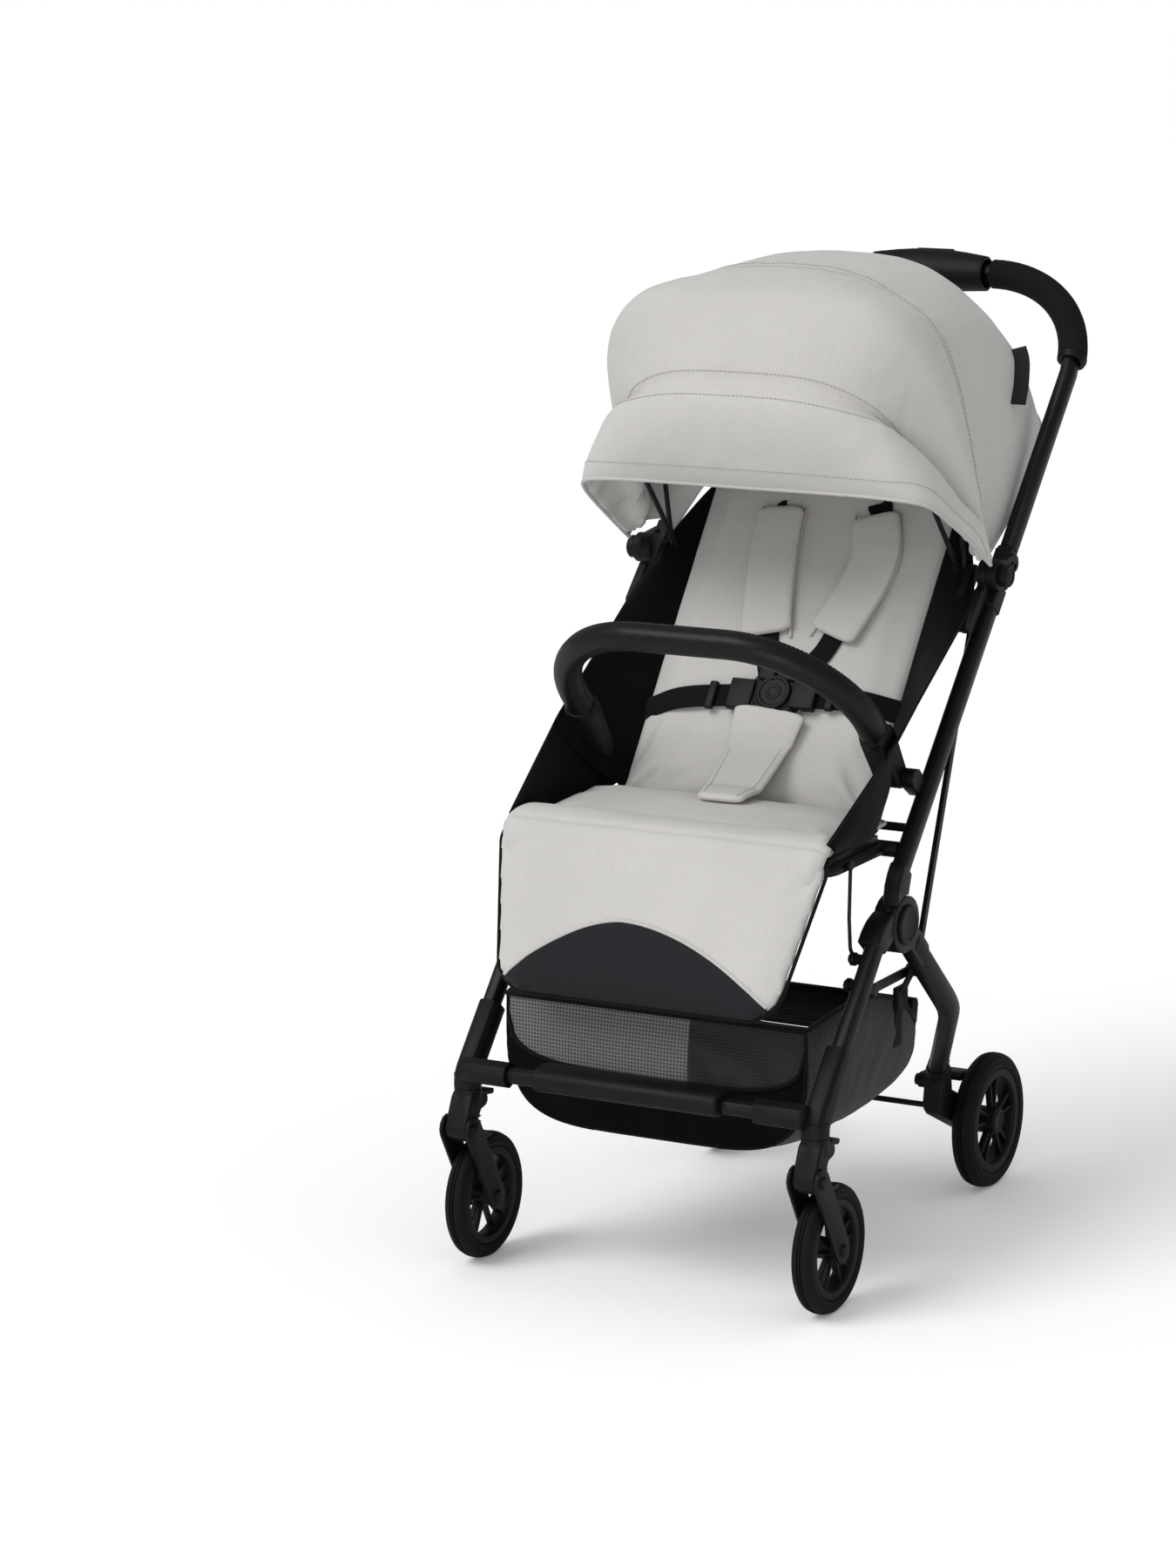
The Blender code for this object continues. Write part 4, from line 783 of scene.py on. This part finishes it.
# %% Leg rest half moon
def moon_top(x):
    return 94.0 + (78.0 * ((x + 20.0) / 188.0) ** 1.85 if x > -20.0
                   else 72.0 * ((-20.0 - x) / 138.0) ** 1.7)


def rest_foot(x):
    corner = 34.0
    reach = max(0.0, abs(x) - (165.0 - corner))
    return 181.0 - corner + math.sqrt(max(0.0, corner ** 2 - reach ** 2)) - 2.0


def moon_at(a, b):
    x = -158.0 + 316.0 * a
    top = min(moon_top(x), rest_foot(x) - 1.0)
    lie = min(1.0, b / 0.9)
    point = laid(rest_tree, REST, x, top + (rest_foot(x) - top) * lie, 0.7)
    return point.lerp(at(x, *along(REST[0], REST[1], rest_foot(x) + 3.4, -2.0)), max(0.0, b - 0.9) * 10.0)


moon = thicken(show("rest_half_moon", sheet_mesh(moon_at, 80, 26), charcoal_cloth, 60.0,
                    "leg_rest"), 0.001)
edge_line = [moon_at(i / 90, 0.0) for i in range(91)]
rope("rest_moon_piping", edge_line, 0.0021, piping_cloth, "leg_rest")
inner_line = [laid(rest_tree, REST, x, min(moon_top(x) + 6, rest_foot(x) - 1), 1.4)
              for x in (-150 + 300 * i / 90 for i in range(91))]
stitches("rest_moon_stitches", inner_line, dark_thread, "leg_rest", 5.0, 3.2, 0.4)
print("cushions done")

# %% [markdown]
# The seat cloth turns over the front edge and runs on down the leg rest. A stitched seam marks where it
# turns.

# %% Front roll of the seat
ROLL = spline([(0, 82, 499.5), (0, 60, 501.0), (0, 42, 499.0), (0, 27, 492.0), (0, 17, 479.0),
               (0, 10, 461.0), (0, 3, 444)], 60)


def roll_at(u, v):
    p = 2 * u - 1
    x = p * (185.0 + 9.0 * math.sin(math.pi * min(1.0, v * 1.05)))
    here, near = on_line(ROLL, v), on_line(ROLL, min(1.0, v + 0.03))
    back = on_line(ROLL, max(0.0, v - 0.03))
    run = (near - back).normalized()
    out = Vector((0, -run.z, run.y))
    if out.z - out.y < 0:
        out = -out
    drop = 9.0 * max(0.0, (abs(p) - 0.93) / 0.07) ** 2
    rise = 1.4 * noise.noise(Vector((x / 40.0, v * 3.0, 1.0))) - 2.2 * bump_at(v, 0.47, 0.035)
    rise -= 5.5 * bump_at(v, 0.0, 0.10) + 8.0 * bump_at(v, 1.0, 0.16)
    return at(x, *(here + out * (rise - drop)).yz)


seat_roll = show("seat_roll", sheet_mesh(roll_at, 110, 46), grey_cloth, 60.0)
thicken(seat_roll, 0.0016)
roll_seam = stitches("seat_roll_stitches", [roll_at(0.02 + 0.96 * i / 90,
        0.45) + Vector((0, -0.0006, 0.0012)) for i in range(91)], thread, None, 5.0, 3.4, 0.45)
for piece in (seat_roll, roll_seam):
    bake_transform(piece)

# %% [markdown]
# ## Side cloths
# A black cloth closes each side: from the tube above, along a straight free edge to the seat's front
# corner, and inward to the backrest and the seat. It is made in two parts: an upper part from the tube to
# the backrest, and a lower part from the tube to the seat.

# %% Side cloths
def wing_edge(v):
    x = 206 - 3 * v if v < 0.62 else 204.1 - 34 * (v - 0.62)
    return Vector((x, 370 - 330 * v, 704 - 208 * v))


WING_BACK = [(147.0, *along(BACK_FOOT, BACK_DEG, u, -14.0)) for u in (395.0, 262.0, 128.0, -6.0)]
WING_SEAT = [(157.0, 240.0, 500.0), (172.0, 205.0, 485.0), (189.0, 150.0, 482.0), (190.5, 50.0, 482.0)]


def wing_at(side, inner, first, last):
    line = spline(inner, 40)

    def place(u, v):
        outer = wing_edge(first + (last - first) * v)
        p = outer.lerp(on_line(line, v), u)
        slack = math.sin(math.pi * u)
        p.x += slack * (5.0 + 4.0 * noise.noise(p / 45.0))
        return at(side * p.x, p.y, p.z)
    return place


for side, hand in ((-1, "left"), (1, "right")):
    for part, inner, first, last, bodies, start, end, flat in (
            ("back", WING_BACK, 0.0, 0.66, ("side_frame", "backrest"), (side * 203, 300, 600),
             (side * 162, 300, 600),
             (0.16, 0.42)),
            ("seat", WING_SEAT, 0.57, 1.0, ("side_frame", "seat"), (0, 165, 580), (0, 165, 500),
             (0.16, 0.20))):
        name = "side_cloth_" + part + "_" + hand
        cloth = show(name, sheet_mesh(wing_at(side, inner, first, last), 22, 44), wing_cloth, 60.0)
        thicken(cloth, 0.0012)
        hem = [wing_edge(first + (last - first) * i / 30) for i in range(31)]
        edge = rope(name + "_hem", [at(side * p.x, p.y, p.z) for p in hem], 0.0017, webbing, None)
        for piece in (cloth, edge):
            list(bodies)
            at(*start)
            at(*end)
            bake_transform(piece)
print("side cloths done")

# %% [markdown]
# ## Harness
# Two padded shoulder covers lie on the backrest, and one wide cover between the legs. Each is a flat tube
# of cloth round the webbing, so its section is a flattened oval that closes in a rounded end. The buckle is
# a round moulded dial with a raised button, and the two lap straps run level to it through plastic
# adjusters.

# %% Harness helpers
def strap(name, points, widths, thick, material, body, round_end=14.0, nu=28, nv=70,
          normal=None):
    """A flat oval band that lies on points in metres, with its first and last width in mm."""
    line = spline(points, 60)
    total = sum((b - a).length for a, b in zip(line, line[1:])) * 1000

    def place(u, v):
        here = on_line(line, v)
        run = (on_line(line, min(1.0, v + 0.02)) - on_line(line, max(0.0, v - 0.02))).normalized()
        side = normal.cross(run) if normal else Vector((1, 0, 0)) - run * run.x
        side.normalize()
        out = side.cross(run)
        if out.z < 0:
            out = -out
        gap = min(v, 1 - v) * total
        close = math.sqrt(max(0.0, 1 - (1 - min(1.0, gap / max(round_end,
                0.1))) ** 2)) if round_end else 1.0
        width = widths[0] + (widths[1] - widths[0]) * v
        c, s = math.cos(math.tau * u), math.sin(math.tau * u)
        flat = math.copysign(abs(c) ** 0.45, c) * width / 2 * (0.45 + 0.55 * close)
        high = thick / 2 * (1 + math.copysign(abs(s) ** 0.7, s) * (0.12 + 0.88 * close))
        high += 0.5 * noise.noise(Vector((flat, gap, thick)) / 14.0) * close
        return here + (side * flat + out * high) / 1000

    bm = sheet_mesh(place, nu, nv)
    bmesh.ops.remove_doubles(bm, verts=bm.verts, dist=2e-5)
    rims = [e for e in bm.edges if e.is_boundary]
    bmesh.ops.holes_fill(bm, edges=rims, sides=0)
    return show(name, bm, material, 60.0, body)


def on_pad(x, u, lift=0.0):
    return laid(back_tree, BACK_PLANE, x, u, lift)


def band_edge(points, width, inset, count=60):
    """A line that runs beside a strap's middle line, a little inside its edge."""
    line = spline(points, count)
    return [p + Vector((width / 2 - inset, 0, 0)) / 1000 for p in line]


PAD_LINES = {"left": [(-45, 344), (-40, 295), (-33, 255), (-26, 218), (-18, 186)],
             "right": [(71, 342), (84, 300), (82, 262), (72, 226), (60, 190)]}
WEB_LINES = {"left": [(-43, 345), (-42, 325), (-18, 186), (0, 130)],
             "right": [(68, 358), (74, 335), (60, 190), (24, 132)]}
BACK_OUT = Vector((0, -math.sin(math.radians(BACK_DEG)), math.cos(math.radians(BACK_DEG))))
for hand in ("left", "right"):
    strap("shoulder_webbing_" + hand, [on_pad(x, u, 1.0) for x, u in WEB_LINES[hand]], (26, 26), 2.2,
          webbing,
          "backrest", 0.0, 14, 60)
    points = [on_pad(x, u, 2.5) for x, u in PAD_LINES[hand]]
    cover = strap("shoulder_pad_" + hand, points, (56, 59), 11.0, grey_cloth, "backrest", 9.0, 40, 90)
    raised = [p + BACK_OUT * 0.0076 for p in points]
    for k, end in ((1, hand + "_in"), (-1, hand + "_out")):
        rope("shoulder_binding_" + end, band_edge(points, 56 * k, k * 0.5), 0.0016, piping_cloth,
             "backrest")
        stitches("shoulder_stitches_" + end, band_edge(raised, 56 * k, k * 6.5), thread, "backrest", 4.6,
                 2.8, 0.35)

# %% [markdown]
# The crotch cover starts under the dial, follows the backrest down into the crease and comes forward on the
# seat.

# %% Crotch cover, lap straps and dial
def seat_top(x, y, lift=0.0):
    return laid(seat_tree, SEAT, x, y - SEAT[0][0], lift)


crotch_line = [on_pad(16, 96, 7.0), on_pad(14, 68, 5.5), on_pad(12, 44, 6.0), seat_top(12, 176, 9.0),
               seat_top(14, 154, 4.0), seat_top(15, 130, 1.5)]
crotch = strap("crotch_pad", crotch_line, (88, 54), 9.0, grey_cloth, "backrest", 8.0, 40, 90)
for k in (1, -1):
    taper = spline(crotch_line, 60)
    side_line = [p + Vector((k * ((88 - 34 * i / 60) / 2 - 7.0), -0.2 * 9, 9.0)) / 1000 for i,
                 p in enumerate(taper)]
    stitches("crotch_stitches_" + ("right" if k > 0 else "left"), side_line[3:-3], thread, "backrest", 4.6,
             2.8, 0.38)
for hand, ends in (("left", ((-152, 92), (-100, 102), (-22, 112))),
                   ("right", ((152, 118), (110, 117), (44, 116)))):
    strap("lap_strap_" + hand, [on_pad(x, u, 4.0) for x, u in ends], (27, 27), 2.4, webbing, "backrest",
          0.0, 14, 50, normal=BACK_OUT)
dial_centre = at(13.0, *along(BACK_FOOT, BACK_DEG, 115.0))
DIAL = [(9, 0), (9, 28), (10, 32), (14, 33.4), (18.0, 32.8), (20.4, 30.4), (21.0, 27.5), (20.2, 25.4),
        (19.6, 24), (19.6, 0)]
PUSH = [(19.0, 0), (19.0, 20.5), (22.2, 20.2), (23.4, 18.8), (23.4, 16.5), (22.0, 15.0), (22.0, 9.6),
        (23.0, 8.6),
        (23.0, 6.4), (22.2, 5.4), (22.2, 0)]
for name, profile, steps, body, node in (("buckle_dial", DIAL, 64, "backrest", "buckle"),
                                         ("buckle_push", PUSH, 56, "buckle_button", "buckle_button")):
    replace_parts(turned(name, profile, dial_centre, BACK_OUT, moulded, steps, body), node)
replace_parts(crotch, "harness")


def block(name, centre, size, material, body, turn=None, soft=0.002, segments=3):
    """A cube scaled to size in metres, with rounded edges, turned and moved to its place."""
    bm = bmesh.new()
    bmesh.ops.create_cube(bm, size=1.0, matrix=Matrix.Diagonal((*size, 1)))
    bmesh.ops.bevel(bm, geom=bm.edges[:], offset=soft, segments=segments, profile=0.5, affect="EDGES",
                    material=-1)
    bmesh.ops.transform(bm, matrix=Matrix.Translation(centre) @ (turn or Matrix()), verts=bm.verts)
    return show(name, bm, material, 40.0, body)


lean = Matrix.Rotation(math.radians(BACK_DEG), 4, "X")
for name, x, u, size in (("left_clip", -26, 110, (0.030, 0.036, 0.010)),
        ("right_clip", 50, 116, (0.030, 0.036, 0.010)),
                         ("lower_clip", 14, 82, (0.036, 0.026, 0.010)),
                         ("left_adjuster", -62, 106, (0.010, 0.033, 0.007)),
                         ("right_adjuster", 82, 117, (0.010, 0.033, 0.007)),
                         ("left_top_clip", 0, 141, (0.020, 0.024, 0.009)),
                         ("right_top_clip", 27, 142, (0.020, 0.024, 0.009))):
    block("harness_" + name, on_pad(x, u, 9.0), size, moulded, "backrest", lean)
print("harness done")

# %% [markdown]
# ## Bumper bar and handle
# Both are bent tubes in a sleeve: foam on the handle, stitched leatherette on the bumper. The sleeve is a
# ring run along the same bent line as the tube below, which keeps it round in the bends.

# %% Bent sleeves
def bent(points, radius, steps=22, pitch=0.012):
    """A line through points whose corners are arcs of that radius, all in metres."""
    out = [points[0]]
    for before, corner, after in zip(points, points[1:], points[2:]):
        a, b = (corner - before).normalized(), (after - corner).normalized()
        e = (b - a * a.dot(b)).normalized()
        swing = a.angle(b)
        start = corner - a * (radius * math.tan(swing / 2))
        out += [out[-1].lerp(start, i / 8) for i in range(1, 8)]
        for i in range(steps + 1):
            f = swing * i / steps
            out.append(start + a * (radius * math.sin(f)) + e * (radius * (1 - math.cos(f))))
    out += [out[-1].lerp(points[-1], i / 8) for i in range(1, 9)]
    return out


BUMPER_X, BUMPER_PIVOT, BUMPER_DEG, SEAM_TURN = 179.5, (210.0, 552.0), 134.0, math.radians(200)
BUMP_START, BUMP_TIP = along(BUMPER_PIVOT, BUMPER_DEG, 46.0), along(BUMPER_PIVOT, BUMPER_DEG, 194.0)
bump_line = bent([at(BUMPER_X, *BUMP_START), at(BUMPER_X, *BUMP_TIP), at(-BUMPER_X, *BUMP_TIP),
                  at(-BUMPER_X, *BUMP_START)], 0.126)
dress("bumper_bar", moulded, 0.5)
rope("bumper_sleeve", bump_line, 0.0158, bumper_leather, "bumper", 28)
bump_flat = Vector((0, *along((0, 0), 224.0, 1.0)))


def beside(line, plane_normal, turned_by, reach):
    """Moves a line to the sleeve's surface, turned from the plane's normal towards the inner bend."""
    out = []
    for i, p in enumerate(line):
        run = (line[min(i + 1, len(line) - 1)] - line[max(i - 1, 0)]).normalized()
        inner = plane_normal.cross(run).normalized()
        out.append(p + (plane_normal * math.cos(turned_by) + inner * math.sin(turned_by)) * reach)
    return out


for n, turn in enumerate((0.35, 0.62)):
    stitches("bumper_stitches_" + str(n + 1), beside(bump_line, bump_flat, SEAM_TURN + turn, 0.0160),
             dark_thread,
             "bumper", 5.0, 3.2, 0.4)
rope("bumper_seam", beside(bump_line, bump_flat, SEAM_TURN + 0.485, 0.0157), 0.0009, bumper_leather,
     "bumper",
     6)
for side, hand in ((1, "right"), (-1, "left")):
    cuff_axis = at(0, *BUMP_TIP) - at(0, *BUMP_START)
    turned("bumper_cuff_" + hand, [(-5, 15.0), (-5, 17.6), (3, 18.0), (6, 17.4), (7, 15.0)],
           at(side * BUMPER_X, *BUMP_START), cuff_axis, moulded, 40, "bumper")


def on_handle(x, t):
    return at(x, *along(JOINT, FRAME_DEG, t, -22.0))


TUBE_FOOT, TUBE_TOP, GRIP_FOOT = 46.6, 416.0, 297.0
handle_line = bent([on_handle(213, TUBE_FOOT), on_handle(213, TUBE_TOP), on_handle(-213, TUBE_TOP),
                    on_handle(-213, TUBE_FOOT)], 0.132)
dress("handle_tube", frame_coat, 0.0)
low = on_handle(0, GRIP_FOOT)
up = (on_handle(0, TUBE_TOP) - low).normalized()
grip = [p for p in handle_line if (p - low).dot(up) > 0.0]
for half, sign in (("right", 1), ("left", -1)):
    part = [p for p in grip if p.x * sign > 0.070]
    rope("grip_sleeve_" + half, part, 0.0168, grip_foam, "handle", 28)
    tail = part[0] if sign > 0 else part[-1]
    turned("grip_ring_" + half, [(-3, 11.5), (-3, 15.8), (1, 16.9), (4, 16.9), (4, 12)], tail, up, moulded,
           40, "handle")
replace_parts(bpy.data.objects["grip_sleeve_right"], "handle_grip")
print("bar and handle sleeves done")

# %% [markdown]
# ## Wheels
# A tyre is one profile spun round the axle, with a slightly crowned tread, two grooves and a raised bead
# line. The rim is a second profile, and five pairs of moulded spokes lean together towards the hub.

# %% Wheels
def wheel(kind, x, axle, radius, half, bead, window, hub_r, hub_in, hub_out):
    w = half
    tread = [(-w + 8, radius - 0.2), (-w + 9.2, radius), (-2.6, radius + 0.2), (-2.2, radius - 1.3),
             (-1.0, radius - 1.3),
             (-0.6, radius + 0.25)]
    tyre_half = [(-w + 3, bead), (-w + 0.6, bead + 2), (-w, bead + 6), (-w + 0.2, bead + 7.2),
                 (-w + 0.9, bead + 7.6),
                 (-w + 0.6, radius - 7), (-w + 1.4, radius - 4.5), (-w + 4, radius - 1.6)] + tread
    profile = tyre_half + [(-a, r) for a, r in tyre_half[::-1]] + [tyre_half[0]]
    r = bead - 0.1
    rim = [(-w + 2, window + 2), (-w + 1.4, r - 1.5), (-w + 2, r), (w - 2, r), (w - 1.4, r - 1.5),
           (w - 2, window + 2),
           (w - 4, window + 0.5), (w - 6, window), (-w + 6, window), (-w + 4, window + 0.5),
           (-w + 2, window + 2)]
    hub = [(hub_in - x, 0), (hub_in - x, hub_r - 1), (hub_in - x + 1, hub_r), (hub_out - x - 2.5, hub_r),
           (hub_out - x - 0.6, hub_r - 1.6), (hub_out - x, hub_r - 3.5), (hub_out - x - 0.7, hub_r - 4.6),
           (hub_out - x - 0.7, 0)]
    for side, hand in ((1, "right"), (-1, "left")):
        body = kind + "_wheel_" + hand
        centre = at(side * x, *axle)
        tyre = turned(kind + "_tread_" + hand, profile, centre, (side, 0, 0), tyre_foam, 96, body,
                      50)
        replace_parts(tyre, kind + "_tyre_" + hand)
        ring = turned(kind + "_rim_ring_" + hand, rim, centre, (side, 0, 0), moulded, 80, body,
                      40)
        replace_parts(ring, kind + "_rim_" + hand)
        turned(kind + "_hub_" + hand, hub, centre, (side, 0, 0), moulded, 40, body, 40)
        bm = bmesh.new()
        for k in range(5):
            for s in (-1, 1):
                a = math.radians(90 + 72 * k)
                lo, hi = Vector((0, hub_r - 4, s * 3.2)), Vector((0, window + 3, s * 10.0))
                mid, run = (lo + hi) / 2, hi - lo
                size = Matrix.Diagonal((0.0075, run.length / 1000, 0.0034, 1))
                lean_to = Matrix.Rotation(math.atan2(run.z, run.y), 4, "X")
                made = bmesh.ops.create_cube(bm, size=1.0,
                        matrix=Matrix.Translation(centre) @ Matrix.Rotation(a, 4,
                            "X") @ Matrix.Translation((mid + Vector((side * (w - 9), 0,
                                0))) / 1000) @ lean_to @ size)
                corners = list({e for v in made["verts"] for e in v.link_edges})
                bmesh.ops.bevel(bm, geom=corners, offset=0.0007, segments=2, profile=0.5, affect="EDGES",
                                material=-1)
        show(kind + "_spokes_" + hand, bm, moulded, 40.0, body)


wheel("rear", 171.0, (489.0, 77.5), 77.5, 13.0, 60.0, 49.0, 15.5, 158.0, 185.5)
wheel("front", 211.0, (0.0, 70.0), 70.0, 12.0, 54.0, 44.0, 12.0, 197.2, 224.8)
print("wheels done")

# %% [markdown]
# ## Basket
# The basket hangs from the frame under the seat: a soft trough of black mesh with solid cloth below, and a
# lighter grey mesh panel across its front. Over the right part of the front the dark inside shows through
# that mesh, and there it is drawn as black mesh: painted shade. The basket is drawn as sections from front
# to back, each one a flattened U that sags a little.

# %% Basket
BASKET = ((8, 181, 300, 160), (60, 184, 306, 147), (120, 186, 309, 146), (190, 184, 296, 148),
          (250, 180, 270, 156),
          (300, 166, 240, 166), (345, 146, 234, 176), (386, 128, 238, 190))
basket_rows = spline([(s[0], s[1], 0) for s in BASKET], 70)
basket_depths = spline([(s[0], s[2], s[3]) for s in BASKET], 70)


def basket_section(v):
    a, b = on_line(basket_rows, v), on_line(basket_depths, v)
    return a.x, a.y, b.y, b.z


def basket_at(u, v, lift=0.0):
    y, half, top, low = basket_section(v)
    c, s = math.cos(math.pi * u), math.sin(math.pi * u)
    x = -half * math.copysign(abs(c) ** 0.42, c)
    z = top - (top - low) * max(0.0, s) ** 0.5
    deep = (top - z) / (top - low)
    sway = noise.noise(Vector((x, y, z)) / 70.0) * 6.0 + noise.noise(Vector((x, y, z)) / 24.0) * 2.2
    x += math.copysign(sway * deep * (1 - deep) * 3.0, x) * abs(c) ** 0.3
    z += sway * deep ** 2 * 0.9 * min(1.0, 9.0 * min(v, 1.0 - v)) - lift
    return at(x * (1 - lift / 400.0), y, z)


def end_wall(v, bow):
    y, half, top, low = basket_section(v)

    def place(a, b, low_share=0.0, high_share=1.0):
        x = half * (2 * a - 1) * 0.998
        c = min(1.0, abs(x) / half) ** (1 / 0.42)
        floor_z = top - (top - low) * math.sqrt(math.sqrt(max(0.0, 1 - c * c)))
        share = low_share + (high_share - low_share) * b
        crease = 2.2 * noise.noise(Vector((x / 30.0, share * 2.0, y)))
        return at(x, y + (bow + crease) * math.sin(math.pi * a) * math.sin(math.pi * share * 0.92),
                  top + (floor_z - top) * share)
    return place


front_wall, rear_wall = end_wall(0.0, -9.0), end_wall(1.0, 8.0)
PANELS = (
    ("basket_shell", basket_at, 90, 90, side_net, (0.66, 0.46)),
    ("basket_underside", lambda u, v: basket_at(0.17 + 0.66 * u, v, 1.5), 60, 60, wing_cloth, (0.42, 0.44)),
    ("basket_front_net", lambda a, b: front_wall(0.62 * a, b, 0.0, 0.52), 50, 20, front_net, (0.24, 0.08)),
    # The right part of the front wall is painted shade: black mesh where the dark inside shows through the
    # grey mesh.
    ("basket_front_dark_net", lambda a, b: front_wall(0.62 + 0.38 * a, b, 0.0, 0.52), 30, 20, side_net,
     (0.15, 0.08)),
    ("basket_front_cloth", lambda a, b: front_wall(a, b, 0.50, 1.0), 70, 24, wing_cloth, (0.38, 0.08)),
    ("basket_rear_net", rear_wall, 50, 10, side_net, (0.27, 0.055)),
)
hang = [show(name, sheet_mesh(place, nu, nv), cloth, 60.0, "rear_frame") for name, place, nu,
        nv, cloth, _ in PANELS]
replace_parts(hang[0], "basket")
flat_areas = [area_of(piece) for piece in hang]
for piece in hang:
    thicken(piece, 0.0012)


def binding(name, line, radius, closed=False):
    return rope(name, line, radius, webbing, "rear_frame", 8, closed)


rim_round = [basket_at(0.0, i / 50) for i in range(51)] + [rear_wall(i / 30, 0.0) for i in range(1, 30)]
rim_round += [basket_at(1.0, 1 - i / 50) for i in range(51)] + [front_wall(1 - i / 40, 0.0)
        for i in range(1, 40)]
front_round = [front_wall(i / 60, 0.0, 0.51, 0.52) + Vector((0, -0.001, 0)) for i in range(61)]
trim = [binding("basket_rim_binding", rim_round, 0.0034, True),
        binding("basket_front_binding", front_round, 0.0022)]
for hand, end, first, run in (("left", 0.0, 0.02, 0.44), ("right", 1.0, 0.98, -0.44)):
    corner = [front_wall(end, 0.0).lerp(basket_at(first + run * i / 20, 0.0), min(1.0, i / 3))
              for i in range(21)]
    trim.append(binding("basket_corner_" + hand, corner, 0.0020))
for piece, area, (*_, flat) in zip(hang, flat_areas, PANELS):
    min(area, flat[0] * flat[1])
print("basket areas", [round(a, 4) for a in flat_areas])

# %% [markdown]
# Webbing hangers with a snap carry the basket's sides from the rear legs.

# %% Hangers, bolts and rings
def ribbon(name, points, width, material, body, thick=1.6):
    line = spline(points, 24)

    def place(u, v):
        p = on_line(line, v)
        return at(p.x, p.y + (u - 0.5) * width, p.z)
    piece = show(name, sheet_mesh(place, 6, 40), material, 60.0, body)
    return thicken(piece, thick / 1000, False)


for side, hand in ((1, "right"), (-1, "left")):
    line = [(side * 203, 224, 336), (side * 200, 223, 318), (side * 190, 222, 296),
            (side * 184.5, 222, 270),
            (side * 183, 222, 232)]
    hang.append(ribbon("basket_hanger_" + hand, line, 19, webbing, "rear_frame"))
    hang.append(block("basket_snap_" + hand, at(side * 188, 222, 288), (0.008, 0.024, 0.026), moulded,
                      "rear_frame"))
    ring = [(-1.5, 6.2), (-1.5, 9.4), (0.0, 10.2), (1.6, 9.4), (1.6, 6.2), (0, 5.6), (-1.5, 6.2)]
    turned("hood_bolt_ring_" + hand, ring, at(side * 231.0, *JOINT), (side, 0, 0), bright, 40, "side_frame")
    turned("hood_bolt_" + hand, [(-3, 0), (-3, 6.4), (0.8, 6.4), (1.9, 5.2), (2.3, 0)],
           at(side * 231.0, *JOINT),
           (side, 0, 0), moulded, 32, "side_frame")
for piece in [*hang, *trim]:
    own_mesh(piece)
print("small pieces done")
# %% [markdown]
# ## Floor, light and camera
# The stroller stands on a plain white floor. Only the camera sees it as bright as that: the light that the
# floor throws back on the object is dimmer, so the undersides stay dark.

# %% Floor
floor_bm = bmesh.new()
bmesh.ops.create_grid(floor_bm, x_segments=1, y_segments=1, size=60.0)
floor_finish, floor_tree, floor_shader, _ = finish_base("white_floor")
seen = floor_tree.nodes.new("ShaderNodeLightPath").outputs["Is Camera Ray"]
floor_white = blend_colour(floor_tree, (0.72, 0.72, 0.72), (1.0, 1.0, 1.0), seen, "MIX")
floor_tree.links.new(floor_white, floor_shader.inputs["Base Color"])
floor_glow = ranged(floor_tree, seen, 0.0, 0.10).outputs["Result"]
floor_tree.links.new(floor_glow, floor_shader.inputs["Emission Strength"])
give(floor_shader, {"Emission Color": (1, 1, 1, 1), "Roughness": 0.9, "Specular IOR Level": 0.1})
show("floor", floor_bm, floor_finish)

# %% [markdown]
# An even white sky gives most of the light, and mirrors dimly in the black parts. One wide, soft sun from
# the front left gives the shadow, and a weak disk lamp fills the front, so colours render about as they are
# written.

# %% Light
world = bpy.data.worlds.new("studio")
bpy.context.scene.world = world
world.use_nodes = True
sky = world.node_tree
background = give(sky.nodes["Background"], {"Color": (1, 1, 1, 1)})
path = sky.nodes.new("ShaderNodeLightPath")
mirrored = ranged(sky, path.outputs["Is Glossy Ray"], 0.60, 0.28)
strength = ranged(sky, path.outputs["Is Camera Ray"], 0.0, 1.0)
sky.links.new(mirrored.outputs["Result"], strength.inputs["To Min"])
sky.links.new(strength.outputs["Result"], background.inputs["Strength"])
key_light = bpy.data.lights.new("key", "SUN")
key_light.angle = math.radians(34)
key_light.energy = 1.4
key = put("key", key_light)
key.rotation_euler = Vector((1.5, 2.3, -3.0)).to_track_quat("-Z", "Y").to_euler()
fill_light = bpy.data.lights.new("fill", "AREA")
fill_light.shape = "DISK"
fill_light.size = 1.6
fill_light.energy = 16.5
fill = put("fill", fill_light)
fill.location = (0.9, -3.2, 0.75)
fill.rotation_euler = (Vector((0, 0.1, 0.62)) - fill.location).to_track_quat("-Z", "Y").to_euler()

# %% [markdown]
# The camera stands where the photograph was taken from. Its place and its three axes were solved from the
# wheels.

# %% Camera
CAMERA = (2.3295, -4.2348 + AXLE_Y / 1000, 1.6078)
RIGHT = (0.87105, 0.49103, -0.01263)
UP = (-0.09410, 0.19204, 0.97687)
FORWARD = (-0.48209, 0.84971, -0.21348)
camera_data = bpy.data.cameras.new("photo_camera")
camera_data.sensor_fit = "VERTICAL"
camera_data.sensor_height = 24.0
camera_data.lens = 5385.6 * 24.0 / 1800.0
camera = put("photo_camera", camera_data)
rows = [(RIGHT[i], UP[i], -FORWARD[i], CAMERA[i]) for i in range(3)]
camera.matrix_world = Matrix((*rows, (0, 0, 0, 1)))
bpy.context.scene.camera = camera
bpy.context.scene.view_settings.view_transform = "Standard"
